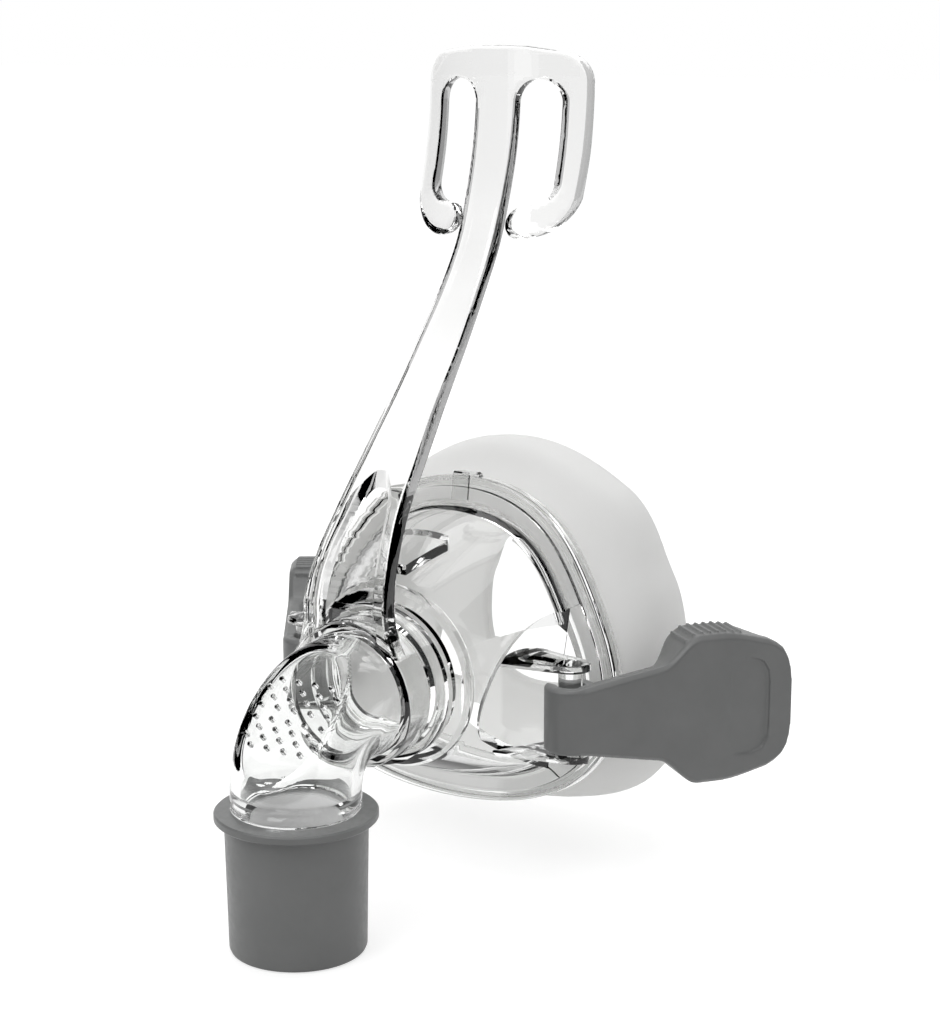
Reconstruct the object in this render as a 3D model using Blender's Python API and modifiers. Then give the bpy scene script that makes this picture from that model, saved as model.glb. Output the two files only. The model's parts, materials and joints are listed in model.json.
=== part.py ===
"""Nasal mask for breathing therapy: clear one-piece frame with a forehead arm, silicone cushion and its
retaining ring, vented swivel elbow, conical hose cuff and two swivelling headgear clips.

Frame of the part, in metres: the origin is the middle of the face seal, +Z points up the face,
-Y points away from the face and +X is the wearer's left. Every piece is built where it sits.
"""
from math import ceil, cos, hypot, pi, radians, sin, sqrt

import bmesh
import bpy
from mathutils import Matrix, Vector

MM = 0.001

# Where the hose side lies, seen from the face seal
AXIS_FORWARD = 84.0 * MM        # the elbow's two axes cross this far in front of the seal
AXIS_RISE = 1.2 * MM            # and this far above it
INLET_TILT = radians(2.0)       # the collar's axis climbs towards the face by this much
CUFF_DROP = 14.2 * MM           # from the crossing down to the top of the cuff

# Clearances
GAP = 0.3 * MM                  # between pieces that touch or turn on each other
CLIP_GAP = 0.6 * MM             # between a clip's barrel and the lugs or pocket round it

# Collar of the frame, measured along its axis from the crossing
COLLAR_RADIUS = 12.2 * MM
COLLAR_BORE = 10.7 * MM
COLLAR_START = 13.6 * MM
COLLAR_LIP_END = 24.0 * MM      # the bore's retaining lip ends here
COLLAR_BAND_START = 19.6 * MM   # a thicker band behind the collar's groove
COLLAR_BAND_RADIUS = 13.4 * MM
BEAD_RADIUS = 15.6 * MM         # the ring where collar and dome meet
BEAD_START = 24.4 * MM
BEAD_END = 28.2 * MM

# Dome and rim of the frame
RIM_FORWARD = 39.8 * MM         # the rim's front face, in front of the seal
RIM_RISE = 3.0 * MM
RIM_LEAN = radians(7.4)         # the rim leans back at the top
RIM_RADIUS = 29.7 * MM          # mean radius, shaped by the four terms below
RIM_WIDER = 1.7 * MM            # wider than tall
RIM_TRIANGLE = 1.95 * MM        # broad below and narrow above
RIM_SQUARE = 0.21 * MM
RIM_CORNERS = 0.45 * MM
RIM_THICK = 1.9 * MM
RIM_FLANGE = 4.5 * MM           # how far the rim's flange stands out from the dome
DOME_START = 15.4 * MM          # radius of the dome at the bead
DOME_ROUNDNESS = 1.4            # 1 is a straight cone, and more is rounder
WALL = 2.0 * MM
SKIRT_DEPTH = 3.4 * MM          # the skirt behind the rim that carries the cushion
SKIRT_WALL = 1.4 * MM
SKIRT_INSET = 5.3 * MM          # from the rim's outline in to the skirt

# Flat pockets in the dome's sides, with the clips' pins
POCKET_HALF_FRONT = 13.8 * MM   # half-width between the pocket floors, behind the bead
POCKET_HALF_BACK = 22.4 * MM    # and at the rim
POCKET_STEP = 1.0 * MM          # how far a pocket runs into the rim's face
POCKET_WALL = 1.3 * MM
PIN_HALF = 26.9 * MM            # the pins stand this far from the middle
PIN_BEFORE_RIM = 5.3 * MM       # and this far in front of the rim's face
PIN_RADIUS = 2.0 * MM
LUG_RADIUS = 3.4 * MM
LUG_THICK = 1.3 * MM
LUG_EDGE = 0.5 * MM
LUG_ROOT = 5.6 * MM             # half-width of a lug where it meets the pocket floor
LUG_ARCH = 3.1 * MM             # its height there, which falls to its thickness at the pin
PIN_SHOULDER = 2.6 * MM         # bare pin between a clip's barrel and the upper lug

# Ring that locks the cushion to the frame
RING_DEPTH = 3.3 * MM
RING_WALL = 1.5 * MM
RING_LIP = 3.2 * MM             # how far its rear lip reaches in over the cushion's bead
RING_LIP_THICK = 1.2 * MM
LATCH_HALF = 1.6 * MM           # half the width of the catch that hooks over the rim's top
LATCH_THICK = 0.8 * MM
LATCH_REACH = 3.9 * MM          # how far its hook comes down the rim's face

# Cushion. Its outline as shares of the radius at the side, and its rows from the ring to the seal:
# distance in front of the seal, radius at the side, and wall thickness.
CUSHION_TOP = 1.18
CUSHION_BROW = 1.085            # 40 degrees from the top
CUSHION_CHEEK = 1.13
CUSHION_BASE = 0.90
CUSHION_RISE = 0.3 * MM         # height of the cushion's own middle
CUSHION_LEAN = radians(-5.4)
CUSHION_ROWS = [
    (33.8 * MM, 27.2 * MM, 1.4 * MM),
    (31.8 * MM, 30.1 * MM, 1.6 * MM),
    (27.0 * MM, 31.7 * MM, 1.6 * MM),
    (21.0 * MM, 31.5 * MM, 1.6 * MM),
    (16.0 * MM, 31.0 * MM, 1.6 * MM),
    (11.5 * MM, 30.3 * MM, 1.5 * MM),
    (8.0 * MM, 29.1 * MM, 1.4 * MM),
    (4.8 * MM, 26.9 * MM, 1.2 * MM),
    (2.2 * MM, 23.9 * MM, 1.0 * MM),
    (0.5 * MM, 20.9 * MM, 1.0 * MM),
    (0.2 * MM, 18.3 * MM, 0.9 * MM),
    (1.6 * MM, 15.9 * MM, 0.8 * MM),
]

# Elbow
TUBE_RADIUS = 10.4 * MM
TUBE_WALL = 1.6 * MM
ELBOW_PIVOT_BACK = 11.4 * MM    # the bend's pivot, behind the outlet's axis
ELBOW_PIVOT_RISE = 3.0 * MM     # and above the cuff
SNAP_HEIGHT = 0.7 * MM
SNAP_LENGTH = 1.6 * MM
OUTLET_SPIGOT = 9.1 * MM        # outside radius of the part that enters the cuff
OUTLET_DEPTH = 12.5 * MM

# Flat vent panel across the outer corner of the bend
PANEL_ANGLE = radians(45.0)
PANEL_REACH = 17.8 * MM         # from the bend's pivot
PANEL_WALL = 1.5 * MM
PANEL_BLEND = 0.25 * MM         # roundness of the panel's edge
VENT_HOLE = 0.42 * MM
VENT_PITCH = 3.2 * MM           # along a row
VENT_ROW = 1.62 * MM            # between rows
VENT_MIDDLE = 1.08 * MM         # the two middle rows lie this far from the panel's middle
VENT_ROWS = 4                   # on each side of the middle
VENT_LONG_ROW = 5               # holes in every other row, from the middle outwards
VENT_SHORT_ROW = 4
VENT_SIDES = 6

# Cuff, the conical hose connector
CUFF_FLANGE = 13.0 * MM
CUFF_FLANGE_THICK = 1.4 * MM
CUFF_TOP_RADIUS = 11.4 * MM
CUFF_END_RADIUS = 11.0 * MM
CUFF_LENGTH = 23.1 * MM
CUFF_END_BORE = 9.0 * MM
CUFF_EDGE = 0.7 * MM

# Forehead arm: a plate that is straight through along Y, bent to a side-view curve.
# Each row gives height above the seal, distance in front of the seal, half-width and thickness along Y.
PLATE_TOP = 103.8 * MM
ARM_STATIONS = [
    (PLATE_TOP, 26.6 * MM, 3.95 * MM, 2.5 * MM),
    (95.0 * MM, 26.6 * MM, 3.95 * MM, 2.5 * MM),
    (87.0 * MM, 27.7 * MM, 3.9 * MM, 2.7 * MM),
    (79.0 * MM, 30.0 * MM, 3.8 * MM, 2.9 * MM),
    (71.0 * MM, 33.3 * MM, 3.75 * MM, 3.2 * MM),
    (63.0 * MM, 38.4 * MM, 3.95 * MM, 3.3 * MM),
    (55.0 * MM, 44.6 * MM, 4.4 * MM, 3.4 * MM),
    (47.0 * MM, 51.6 * MM, 4.75 * MM, 4.1 * MM),
    (39.0 * MM, 58.2 * MM, 5.45 * MM, 4.1 * MM),
    (31.0 * MM, 64.6 * MM, 6.2 * MM, 3.9 * MM),
    (23.0 * MM, 69.2 * MM, 7.4 * MM, 3.4 * MM),
    (17.0 * MM, 71.0 * MM, 8.1 * MM, 3.4 * MM),
    (12.8 * MM, 70.8 * MM, 8.5 * MM, 3.4 * MM),
    (8.4 * MM, 70.3 * MM, 9.9 * MM, 3.4 * MM),
]
ARM_LOW = ARM_STATIONS[-1][0]
ARM_EDGE = 0.55 * MM            # rounding of the plate's edges
ARM_STEP = 4.4 * MM             # length of a bent facet

# Forehead plate at the top of the arm: two hooks, one each side, open next to the stem
PLATE_HALF = 15.9 * MM
PLATE_CORNER = 5.0 * MM
PLATE_BAR = 4.1 * MM            # width of an outer bar
PLATE_CROWN = 5.5 * MM          # from the plate's top down to the strap slots
SLOT_LENGTH = 20.6 * MM
HOOK_THICK = 5.5 * MM           # from a slot's end down to the hook's underside
SLOT_TOP = PLATE_TOP - PLATE_CROWN
SLOT_BOTTOM = SLOT_TOP - SLOT_LENGTH
HOOK_BOTTOM = SLOT_BOTTOM - HOOK_THICK
HOOK_TIP = 4.9 * MM             # the hook's tip ends this far from the middle
PLATE_SWEEP = 0.017 / MM        # how the plate bends back sideways: y = sweep * x * x
SWEEP_FADE = (HOOK_BOTTOM - 10.2 * MM, HOOK_BOTTOM + 1.8 * MM)

# Bare recess in the front of the lower arm, an arch that is open at the collar
RECESS_APEX = 34.3 * MM
RECESS_HALF = 6.6 * MM
RECESS_DEPTH = 1.1 * MM
RECESS_DRAFT = 0.8 * MM
RECESS_APEX_DRAFT = 3.0 * MM
RECESS_ROUNDNESS = 0.45

# Brace pad between the collar and the dome's crown
PAD_HALF = 7.2 * MM
PAD_BACK = 52.6 * MM            # its rear edge, in front of the seal
PAD_HEIGHT = 1.5 * MM

# Headgear clips, measured from the pin along the clip
CLIP_MIDDLE = -3.7 * MM         # height of the clip's middle plane, from the seal
CLIP_BARREL = 4.3 * MM
CLIP_BORE = PIN_RADIUS + GAP
CLIP_MOUTH = 3.3 * MM           # opening that snaps over the pin
CLIP_PLATE = 3.0 * MM
CLIP_BLOCK = 8.4 * MM           # thickness of the grip block
CLIP_LENGTH = 38.2 * MM
CLIP_NECK_HALF = 5.6 * MM
CLIP_WAIST_HALF = 8.2 * MM
CLIP_PADDLE_HALF = 12.8 * MM
CLIP_END_HALF = 10.6 * MM
CLIP_NECK_END = 15.0 * MM
CLIP_SHOULDER = 21.5 * MM
CLIP_BLOCK_END = 29.5 * MM
CLIP_BLOCK_RISE = 4.9 * MM      # length of the grip block's front slope
CLIP_BLOCK_FALL = 4.6 * MM      # and of its rear slope
CLIP_EDGE = 0.8 * MM
CLIP_RIBS = 8
CLIP_RIB_HEIGHT = 0.5 * MM
CLIP_RIB_ROOT = 1.0 * MM        # how deep a rib is sunk in the block
CLIP_RIB_MARGIN = 1.2 * MM      # from a rib's end to the block's side
CLIP_RIB_START = 4.2 * MM       # from the neck's end to the first rib
STRAP_SLOT_HALF = 9.8 * MM
STRAP_SLOT = 2.5 * MM
CLIP_SKIN = 2.5 * MM
CLIP_BAR_START = 25.5 * MM
CLIP_SLOT_START = 20.5 * MM
RIGHT_CLIP_ANGLE = radians(52.0)    # the clip on the wearer's left, from +X towards the face
LEFT_CLIP_ANGLE = radians(56.0)     # the other one is swung further in

# Facets
ROUND = 32
RIM_ROUND = 36
BEND_STEPS = 8

CROSSING = Vector((0.0, -AXIS_FORWARD, AXIS_RISE))
INLET = Vector((0.0, cos(INLET_TILT), sin(INLET_TILT)))
INLET_UP = Vector((0.0, -sin(INLET_TILT), cos(INLET_TILT)))
CUFF_TOP = AXIS_RISE - CUFF_DROP
SIDE = Vector((1.0, 0.0, 0.0))


def clear_scene():
    for thing in list(bpy.data.objects):
        bpy.data.objects.remove(thing, do_unlink=True)


def collection(name):
    made = bpy.data.collections.new(name)
    bpy.context.scene.collection.children.link(made)
    return made


def material(name, colour, roughness, transmission=0.0):
    made = bpy.data.materials.new(name)
    made.use_nodes = True
    shader = made.node_tree.nodes["Principled BSDF"]
    shader.inputs["Base Color"].default_value = (*colour, 1.0)
    shader.inputs["Roughness"].default_value = roughness
    shader.inputs["Metallic"].default_value = 0.0
    shader.inputs["Transmission Weight"].default_value = transmission
    shader.inputs["IOR"].default_value = 1.58
    made.diffuse_color = (*colour, 1.0)
    return made


def mesh_object(name, mesh, home):
    made = bpy.data.objects.new(name, mesh)
    home.objects.link(made)
    return made


def loft(name, rings, home, closed=False):
    """A skin over rings of points, each ring closed on itself. A closed loft joins its last ring to its
    first, and an open one gets a flat cap at both ends."""
    bm = bmesh.new()
    rows = [[bm.verts.new(point) for point in ring] for ring in rings]
    count = len(rows[0])
    pairs = list(zip(rows, rows[1:]))
    if closed:
        pairs.append((rows[-1], rows[0]))
    for near, far in pairs:
        for i in range(count):
            j = (i + 1) % count
            bm.faces.new((near[i], near[j], far[j], far[i]))
    if not closed:
        bm.faces.new(list(reversed(rows[0])))
        bm.faces.new(rows[-1])
    bmesh.ops.recalc_face_normals(bm, faces=bm.faces)
    mesh = bpy.data.meshes.new(name)
    bm.to_mesh(mesh)
    bm.free()
    return mesh_object(name, mesh, home)


def hide_cutter(cutter):
    cutter.display_type = "WIRE"
    cutter.hide_render = True


def combine(target, other, operation, home):
    """A Boolean on the target, kept as a modifier, with the other piece moved to the cutters."""
    step = target.modifiers.new(operation.title() + " " + other.name, "BOOLEAN")
    step.operation = operation
    step.solver = "EXACT"
    step.object = other
    for holder in list(other.users_collection):
        holder.objects.unlink(other)
    home.objects.link(other)
    hide_cutter(other)


def bake(target):
    """Applies the target's modifiers, so that its mesh can be worked on further."""
    graph = bpy.context.evaluated_depsgraph_get()
    graph.update()
    mesh = bpy.data.meshes.new_from_object(target.evaluated_get(graph))
    target.modifiers.clear()
    target.data = mesh
    return target


def smooth(target, angle=35.0):
    target.data.shade_smooth()
    target.data.set_sharp_from_angle(angle=radians(angle))


def finish(target, look, angle=35.0):
    """Bakes a piece, welds what a Boolean left split, and gives it its material."""
    bake(target)
    bm = bmesh.new()
    bm.from_mesh(target.data)
    bmesh.ops.remove_doubles(bm, verts=bm.verts, dist=0.004 * MM)
    bmesh.ops.dissolve_degenerate(bm, edges=bm.edges, dist=0.004 * MM)
    bmesh.ops.triangulate(bm, faces=bm.faces)
    bmesh.ops.recalc_face_normals(bm, faces=bm.faces)
    bm.to_mesh(target.data)
    bm.free()
    smooth(target, angle)
    target.data.materials.clear()
    target.data.materials.append(look)
    return target


def mix(a, b, share):
    return a + (b - a) * share


def between(value, low, high):
    """0 below low, 1 above high, and a smooth rise between them."""
    share = min(1.0, max(0.0, (value - low) / (high - low)))
    return share * share * (3.0 - 2.0 * share)


def circle_ring(centre, up, radius, count=ROUND, sideways=None):
    """Points of a circle round centre, clockwise from up, seen along the axis from the front."""
    across = radius if sideways is None else sideways
    ring = []
    for i in range(count):
        angle = 2 * pi * i / count
        ring.append(centre + SIDE * across * sin(angle) + up * radius * cos(angle))
    return ring


def inlet_ring(along, radius, count=ROUND):
    return circle_ring(CROSSING + INLET * along, INLET_UP, radius, count)


# The frame's dome: sections that turn from the collar's circle to the rim's rounded triangle

def rim_radius(angle):
    return (RIM_RADIUS - RIM_WIDER * cos(2 * angle) + RIM_TRIANGLE * cos(3 * angle)
            - RIM_SQUARE * cos(4 * angle) - RIM_CORNERS * cos(5 * angle))


RIM_UP = Vector((0.0, sin(RIM_LEAN), cos(RIM_LEAN)))
RIM_BACK = Vector((0.0, cos(RIM_LEAN), -sin(RIM_LEAN)))
RIM_CENTRE = Vector((0.0, -RIM_FORWARD, RIM_RISE))


def rim_ring(back, inset, count=RIM_ROUND):
    """The rim's outline, moved back from its front face and drawn in by inset."""
    centre = RIM_CENTRE + RIM_BACK * back
    ring = []
    for i in range(count):
        angle = 2 * pi * i / count
        radius = rim_radius(angle) - inset
        ring.append(centre + SIDE * radius * sin(angle) + RIM_UP * radius * cos(angle))
    return ring


def dome_ring(share, inset, count=RIM_ROUND):
    """A section of the dome between the collar's bead, share 0, and the rim's face, share 1."""
    start = CROSSING + INLET * BEAD_END
    centre = start.lerp(RIM_CENTRE, share)
    lean = mix(-INLET_TILT, RIM_LEAN, share)
    up = Vector((0.0, sin(lean), cos(lean)))
    rise = 1.0 - max(0.0, 1.0 - share) ** DOME_ROUNDNESS
    ring = []
    for i in range(count):
        angle = 2 * pi * i / count
        radius = mix(DOME_START, rim_radius(angle) - RIM_FLANGE, rise) - inset
        ring.append(centre + SIDE * radius * sin(angle) + up * radius * cos(angle))
    return ring


def dome_outside(home):
    rings = [
        inlet_ring(COLLAR_START, COLLAR_RADIUS - 0.7 * MM, RIM_ROUND),
        inlet_ring(COLLAR_START + 0.4 * MM, COLLAR_RADIUS - 0.15 * MM, RIM_ROUND),
        inlet_ring(COLLAR_START + 0.8 * MM, COLLAR_RADIUS, RIM_ROUND),
        inlet_ring(COLLAR_BAND_START, COLLAR_RADIUS, RIM_ROUND),
        inlet_ring(COLLAR_BAND_START + 0.5 * MM, COLLAR_BAND_RADIUS, RIM_ROUND),
        inlet_ring(BEAD_START, COLLAR_BAND_RADIUS, RIM_ROUND),
        inlet_ring(mix(BEAD_START, BEAD_END, 0.25), BEAD_RADIUS - 0.6 * MM, RIM_ROUND),
        inlet_ring(mix(BEAD_START, BEAD_END, 0.5), BEAD_RADIUS, RIM_ROUND),
        inlet_ring(mix(BEAD_START, BEAD_END, 0.8), BEAD_RADIUS, RIM_ROUND),
        inlet_ring(BEAD_END, BEAD_RADIUS - 0.4 * MM, RIM_ROUND),
    ]
    rings += [dome_ring(share, 0.0) for share in (0.04, 0.14, 0.27, 0.42, 0.58, 0.76, 0.92, 0.985)]
    rings += [
        rim_ring(0.0, RIM_FLANGE - 0.5 * MM),
        rim_ring(0.0, 0.8 * MM),
        rim_ring(0.25 * MM, 0.2 * MM),
        rim_ring(0.8 * MM, 0.0),
        rim_ring(RIM_THICK, 0.0),
        rim_ring(RIM_THICK, SKIRT_INSET),
        rim_ring(RIM_THICK + SKIRT_DEPTH, SKIRT_INSET + 0.1 * MM),
    ]
    return loft("dome_outside", rings, home)


def dome_inside(home):
    """The room inside the dome, skirt and collar, as a cutter."""
    beyond = 2.0 * MM
    undercut = COLLAR_BORE + SNAP_HEIGHT + 0.4 * MM
    rings = [
        inlet_ring(COLLAR_START - beyond, COLLAR_BORE, RIM_ROUND),
        inlet_ring(COLLAR_LIP_END, COLLAR_BORE, RIM_ROUND),
        inlet_ring(COLLAR_LIP_END + 0.3 * MM, undercut, RIM_ROUND),
        inlet_ring(COLLAR_LIP_END + 3.2 * MM, undercut + 0.4 * MM, RIM_ROUND),
    ]
    rings += [dome_ring(share, WALL) for share in (0.1, 0.22, 0.38, 0.56, 0.78, 0.96)]
    inner = SKIRT_INSET + SKIRT_WALL
    rings += [rim_ring(RIM_THICK, inner), rim_ring(RIM_THICK + SKIRT_DEPTH + beyond, inner)]
    return loft("dome_inside", rings, home)


def pocket_block(name, side, sink, home):
    """A slab whose inner face is a pocket's floor, moved inwards by sink. It ends at the rim's front face."""
    front_y = CROSSING.y + BEAD_END + 0.3 * MM
    back_y = RIM_CENTRE.y
    slope = (POCKET_HALF_BACK - POCKET_HALF_FRONT) / (back_y - front_y)
    reach = 2.0 * RIM_RADIUS
    height = 2.3 * RIM_RADIUS
    bm = bmesh.new()
    bmesh.ops.create_cube(bm, size=1.0)
    for vert in bm.verts:
        top = vert.co.z * height
        y = front_y
        if vert.co.y > 0.0:
            y = back_y + tan_lean(top - RIM_RISE) + POCKET_STEP + 0.8 * sink
        inner = POCKET_HALF_FRONT + slope * (y - front_y) - sink
        x = inner if vert.co.x < 0.0 else reach
        vert.co = Vector((side * x, y, top))
    bm.normal_update()
    bmesh.ops.recalc_face_normals(bm, faces=bm.faces)
    mesh = bpy.data.meshes.new(name)
    bm.to_mesh(mesh)
    bm.free()
    return mesh_object(name, mesh, home)


def tan_lean(height):
    """How far the rim's face moves back over a height."""
    return height * sin(RIM_LEAN) / cos(RIM_LEAN)


# Pins and lugs

PIN_Y = -RIM_FORWARD - PIN_BEFORE_RIM
BARREL_TOP = CLIP_MIDDLE + CLIP_NECK_HALF
BARREL_BASE = CLIP_MIDDLE - CLIP_NECK_HALF
LUG_TOP_FACE = BARREL_TOP + PIN_SHOULDER
LUG_BASE_FACE = BARREL_BASE - CLIP_GAP


def lug(name, side, face, away, home):
    """A lug from the pocket's floor out round the pin. Its flat face is at height face, and the other one,
    on the side away, is arched at the root and thins out to the pin."""
    root_x = POCKET_HALF_FRONT + 0.8 * WALL
    steps, arch_steps = 7, 6
    rings = []
    for i in range(2 * steps + 1):
        if i <= steps:
            share = i / steps
            x = mix(root_x, PIN_HALF, share)
            half = mix(LUG_ROOT, LUG_RADIUS, share)
        else:
            share = 1.0
            turn = (i / steps - 1.0) * radians(85.0)
            x = PIN_HALF + LUG_RADIUS * sin(turn)
            half = LUG_RADIUS * cos(turn)
        arch = mix(LUG_ARCH, LUG_THICK, share ** 0.7)
        ring = [Vector((side * x, PIN_Y + half, face)), Vector((side * x, PIN_Y - half, face))]
        for k in range(arch_steps + 1):
            across = 2.0 * k / arch_steps - 1.0
            height = LUG_EDGE + (arch - LUG_EDGE) * (1.0 - across * across) ** mix(1.0, 0.25, share)
            ring.append(Vector((side * x, PIN_Y + half * across, face + away * height)))
        rings.append(ring)
    return loft(name, rings, home)


def post(name, x, y, low, high, radius, home, count=24):
    rings = [[Vector((x + radius * sin(2 * pi * i / count), y + radius * cos(2 * pi * i / count), z))
              for i in range(count)] for z in (low, high)]
    return loft(name, rings, home)


# The arm: a flat outline with rounded edges, bent to its side-view curve

def station(height):
    """Distance in front of the seal, half-width and thickness of the arm at a height, from a smooth
    curve through its stations."""
    rows = ARM_STATIONS
    height = min(rows[0][0], max(rows[-1][0], height))
    for k in range(len(rows) - 1):
        if rows[k][0] >= height >= rows[k + 1][0]:
            break
    share = (rows[k][0] - height) / (rows[k][0] - rows[k + 1][0])
    before = rows[max(0, k - 1)]
    after = rows[min(len(rows) - 1, k + 2)]
    values = []
    for column in (1, 2, 3):
        a, b, c, d = before[column], rows[k][column], rows[k + 1][column], after[column]
        values.append(0.5 * (2 * b + (c - a) * share + (2 * a - 5 * b + 4 * c - d) * share ** 2
                             + (3 * b - 3 * c + d - a) * share ** 3))
    return values


def arc_points(cx, cz, radius, start, end, steps):
    """Points of an arc in the plate's outline. Angles are in degrees from +X towards +Z."""
    points = []
    for i in range(steps + 1):
        angle = radians(mix(start, end, i / steps))
        points.append((cx + radius * cos(angle), cz + radius * sin(angle)))
    return points


def half_outline():
    """The right half of the arm's outline, from the crown down to the leg."""
    crown_drop = 0.9 * MM
    slot_out = PLATE_HALF - PLATE_BAR
    stem = ARM_STATIONS[1][2]
    slot_radius = (slot_out - stem) / 2
    tip_radius = (SLOT_BOTTOM - HOOK_BOTTOM) / 2
    bend = PLATE_HALF - HOOK_TIP - tip_radius
    inner_bend = bend - PLATE_BAR - 0.6 * MM
    points = [(0.0, PLATE_TOP), (PLATE_HALF * 0.35, PLATE_TOP - crown_drop * 0.15)]
    points += arc_points(PLATE_HALF - PLATE_CORNER, PLATE_TOP - crown_drop - PLATE_CORNER,
                         PLATE_CORNER, 80.0, 0.0, 6)
    points.append((PLATE_HALF, mix(PLATE_TOP, HOOK_BOTTOM, 0.55)))
    points += arc_points(PLATE_HALF - bend, HOOK_BOTTOM + bend, bend, -12.0, -90.0, 7)
    points += arc_points(HOOK_TIP + tip_radius, HOOK_BOTTOM + tip_radius, tip_radius, -100.0, -260.0, 8)
    points += arc_points(slot_out - inner_bend, SLOT_BOTTOM + inner_bend, inner_bend, -80.0, 0.0, 5)
    points.append((slot_out, mix(SLOT_TOP, SLOT_BOTTOM, 0.45)))
    points += arc_points(slot_out - slot_radius, SLOT_TOP - slot_radius, slot_radius, 0.0, 180.0, 10)
    height = SLOT_TOP - slot_radius - 4.0 * MM
    count = ceil((height - ARM_LOW) / (1.6 * ARM_STEP))
    for i in range(count + 1):
        z = mix(height, ARM_LOW, i / count)
        points.append((station(z)[1], z))
    return points


def arm_outline():
    half = half_outline()
    other = [(-x, z) for x, z in reversed(half[1:])]
    return half + other


def flat_plate(home):
    """The outline as a filled 2D curve with a rounded edge, 1 mm thick each side of its middle."""
    curve = bpy.data.curves.new("arm_outline", "CURVE")
    curve.dimensions = "2D"
    curve.fill_mode = "BOTH"
    curve.extrude = 1.0 * MM - ARM_EDGE
    curve.bevel_depth = ARM_EDGE
    curve.bevel_resolution = 0
    curve.offset = -ARM_EDGE
    points = arm_outline()
    spline = curve.splines.new("POLY")
    spline.points.add(len(points) - 1)
    for point, (x, z) in zip(spline.points, points):
        point.co = (x, z, 0.0, 1.0)
    spline.use_cyclic_u = True
    flat = bpy.data.objects.new("arm_outline", curve)
    home.objects.link(flat)
    graph = bpy.context.evaluated_depsgraph_get()
    graph.update()
    mesh = bpy.data.meshes.new_from_object(flat.evaluated_get(graph))
    bpy.data.objects.remove(flat, do_unlink=True)
    bm = bmesh.new()
    bm.from_mesh(mesh)
    bmesh.ops.remove_doubles(bm, verts=bm.verts, dist=0.01 * MM)
    bmesh.ops.recalc_face_normals(bm, faces=bm.faces)
    bm.to_mesh(mesh)
    bm.free()
    return mesh_object("forehead_arm", mesh, home)


def recess_half(height):
    """Half-width of the recess at a height: a rounded arch."""
    share = min(1.0, max(0.0, (RECESS_APEX - height) / (RECESS_APEX - ARM_LOW)))
    return RECESS_HALF * share ** RECESS_ROUNDNESS


def recess_cutter(home):
    """The recess in the flat plate's front: an arch with drafted walls, in the plate's flat space."""
    low = ARM_LOW - 1.0 * MM
    steps = 11
    rings = []
    deepest = 2.0 * MM * RECESS_DEPTH / ARM_STATIONS[-3][3] - 1.0 * MM
    for level, apex, grow in ((deepest, 0.0, 0.0), (-1.5 * MM, RECESS_APEX_DRAFT, RECESS_DRAFT)):
        right = []
        for i in range(steps + 1):
            share = (i / steps) ** 2
            z = mix(RECESS_APEX + apex, low, share)
            half = recess_half(z - apex) + grow * between(share, 0.0, 0.15)
            right.append((half if i else 0.0, z))
        left = [(-x, z) for x, z in reversed(right[1:])]
        rings.append([Vector((x, z, level)) for x, z in right + left])
    return loft("arm_recess", rings, home)


def bend_plate(plate):
    """Cuts the flat plate into short facets and bends it: flat X, Y and Z become X, height and depth."""
    bm = bmesh.new()
    bm.from_mesh(plate.data)
    rows = ceil((PLATE_TOP - ARM_LOW) / ARM_STEP)
    for i in range(1, rows):
        cut_at = Vector((0.0, mix(ARM_LOW, PLATE_TOP, i / rows), 0.0))
        geometry = bm.verts[:] + bm.edges[:] + bm.faces[:]
        bmesh.ops.bisect_plane(bm, geom=geometry, plane_co=cut_at, plane_no=(0.0, 1.0, 0.0), dist=0.02 * MM)
    columns = 8
    for i in range(1, columns):
        cut_at = Vector((mix(-PLATE_HALF, PLATE_HALF, i / columns), 0.0, 0.0))
        upper = [f for f in bm.faces if f.calc_center_median().y > SWEEP_FADE[0]]
        geometry = list({v for f in upper for v in f.verts}) + list({e for f in upper for e in f.edges}) + upper
        bmesh.ops.bisect_plane(bm, geom=geometry, plane_co=cut_at, plane_no=(1.0, 0.0, 0.0), dist=0.02 * MM)
    bmesh.ops.triangulate(bm, faces=[f for f in bm.faces if len(f.verts) > 4])
    for vert in bm.verts:
        x, height, level = vert.co
        forward, _, thick = station(height)
        sweep = PLATE_SWEEP * x * x * between(height, *SWEEP_FADE)
        depth = (level + 1.0 * MM) / (2.0 * MM) * thick
        vert.co = Vector((x, -forward + depth + sweep, height))
    bm.normal_update()
    bmesh.ops.recalc_face_normals(bm, faces=bm.faces)
    bm.to_mesh(plate.data)
    bm.free()


def brace_pad(home, cutters):
    """A low pad on the dome's crown behind the arm, as deep as the dome's skin there."""
    rings = [dome_ring(share, -PAD_HEIGHT) for share in (-0.1, 0.0, 0.08, 0.2, 0.32, 0.44, 0.56)]
    pad = loft("brace_pad", rings, home)
    front = CROSSING.y + BEAD_END - 1.2 * MM
    back = -PAD_BACK
    outline = [(-PAD_HALF, back), (PAD_HALF, back), (PAD_HALF + 1.6 * MM, mix(back, front, 0.5)),
               (PAD_HALF + 0.4 * MM, front), (-PAD_HALF - 0.4 * MM, front),
               (-PAD_HALF - 1.6 * MM, mix(back, front, 0.5))]
    rings = [[Vector((x, y, z)) for x, y in outline] for z in (RIM_RISE, PLATE_TOP)]
    window = loft("pad_window", rings, home)
    combine(pad, window, "INTERSECT", cutters)
    return bake(pad)


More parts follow.
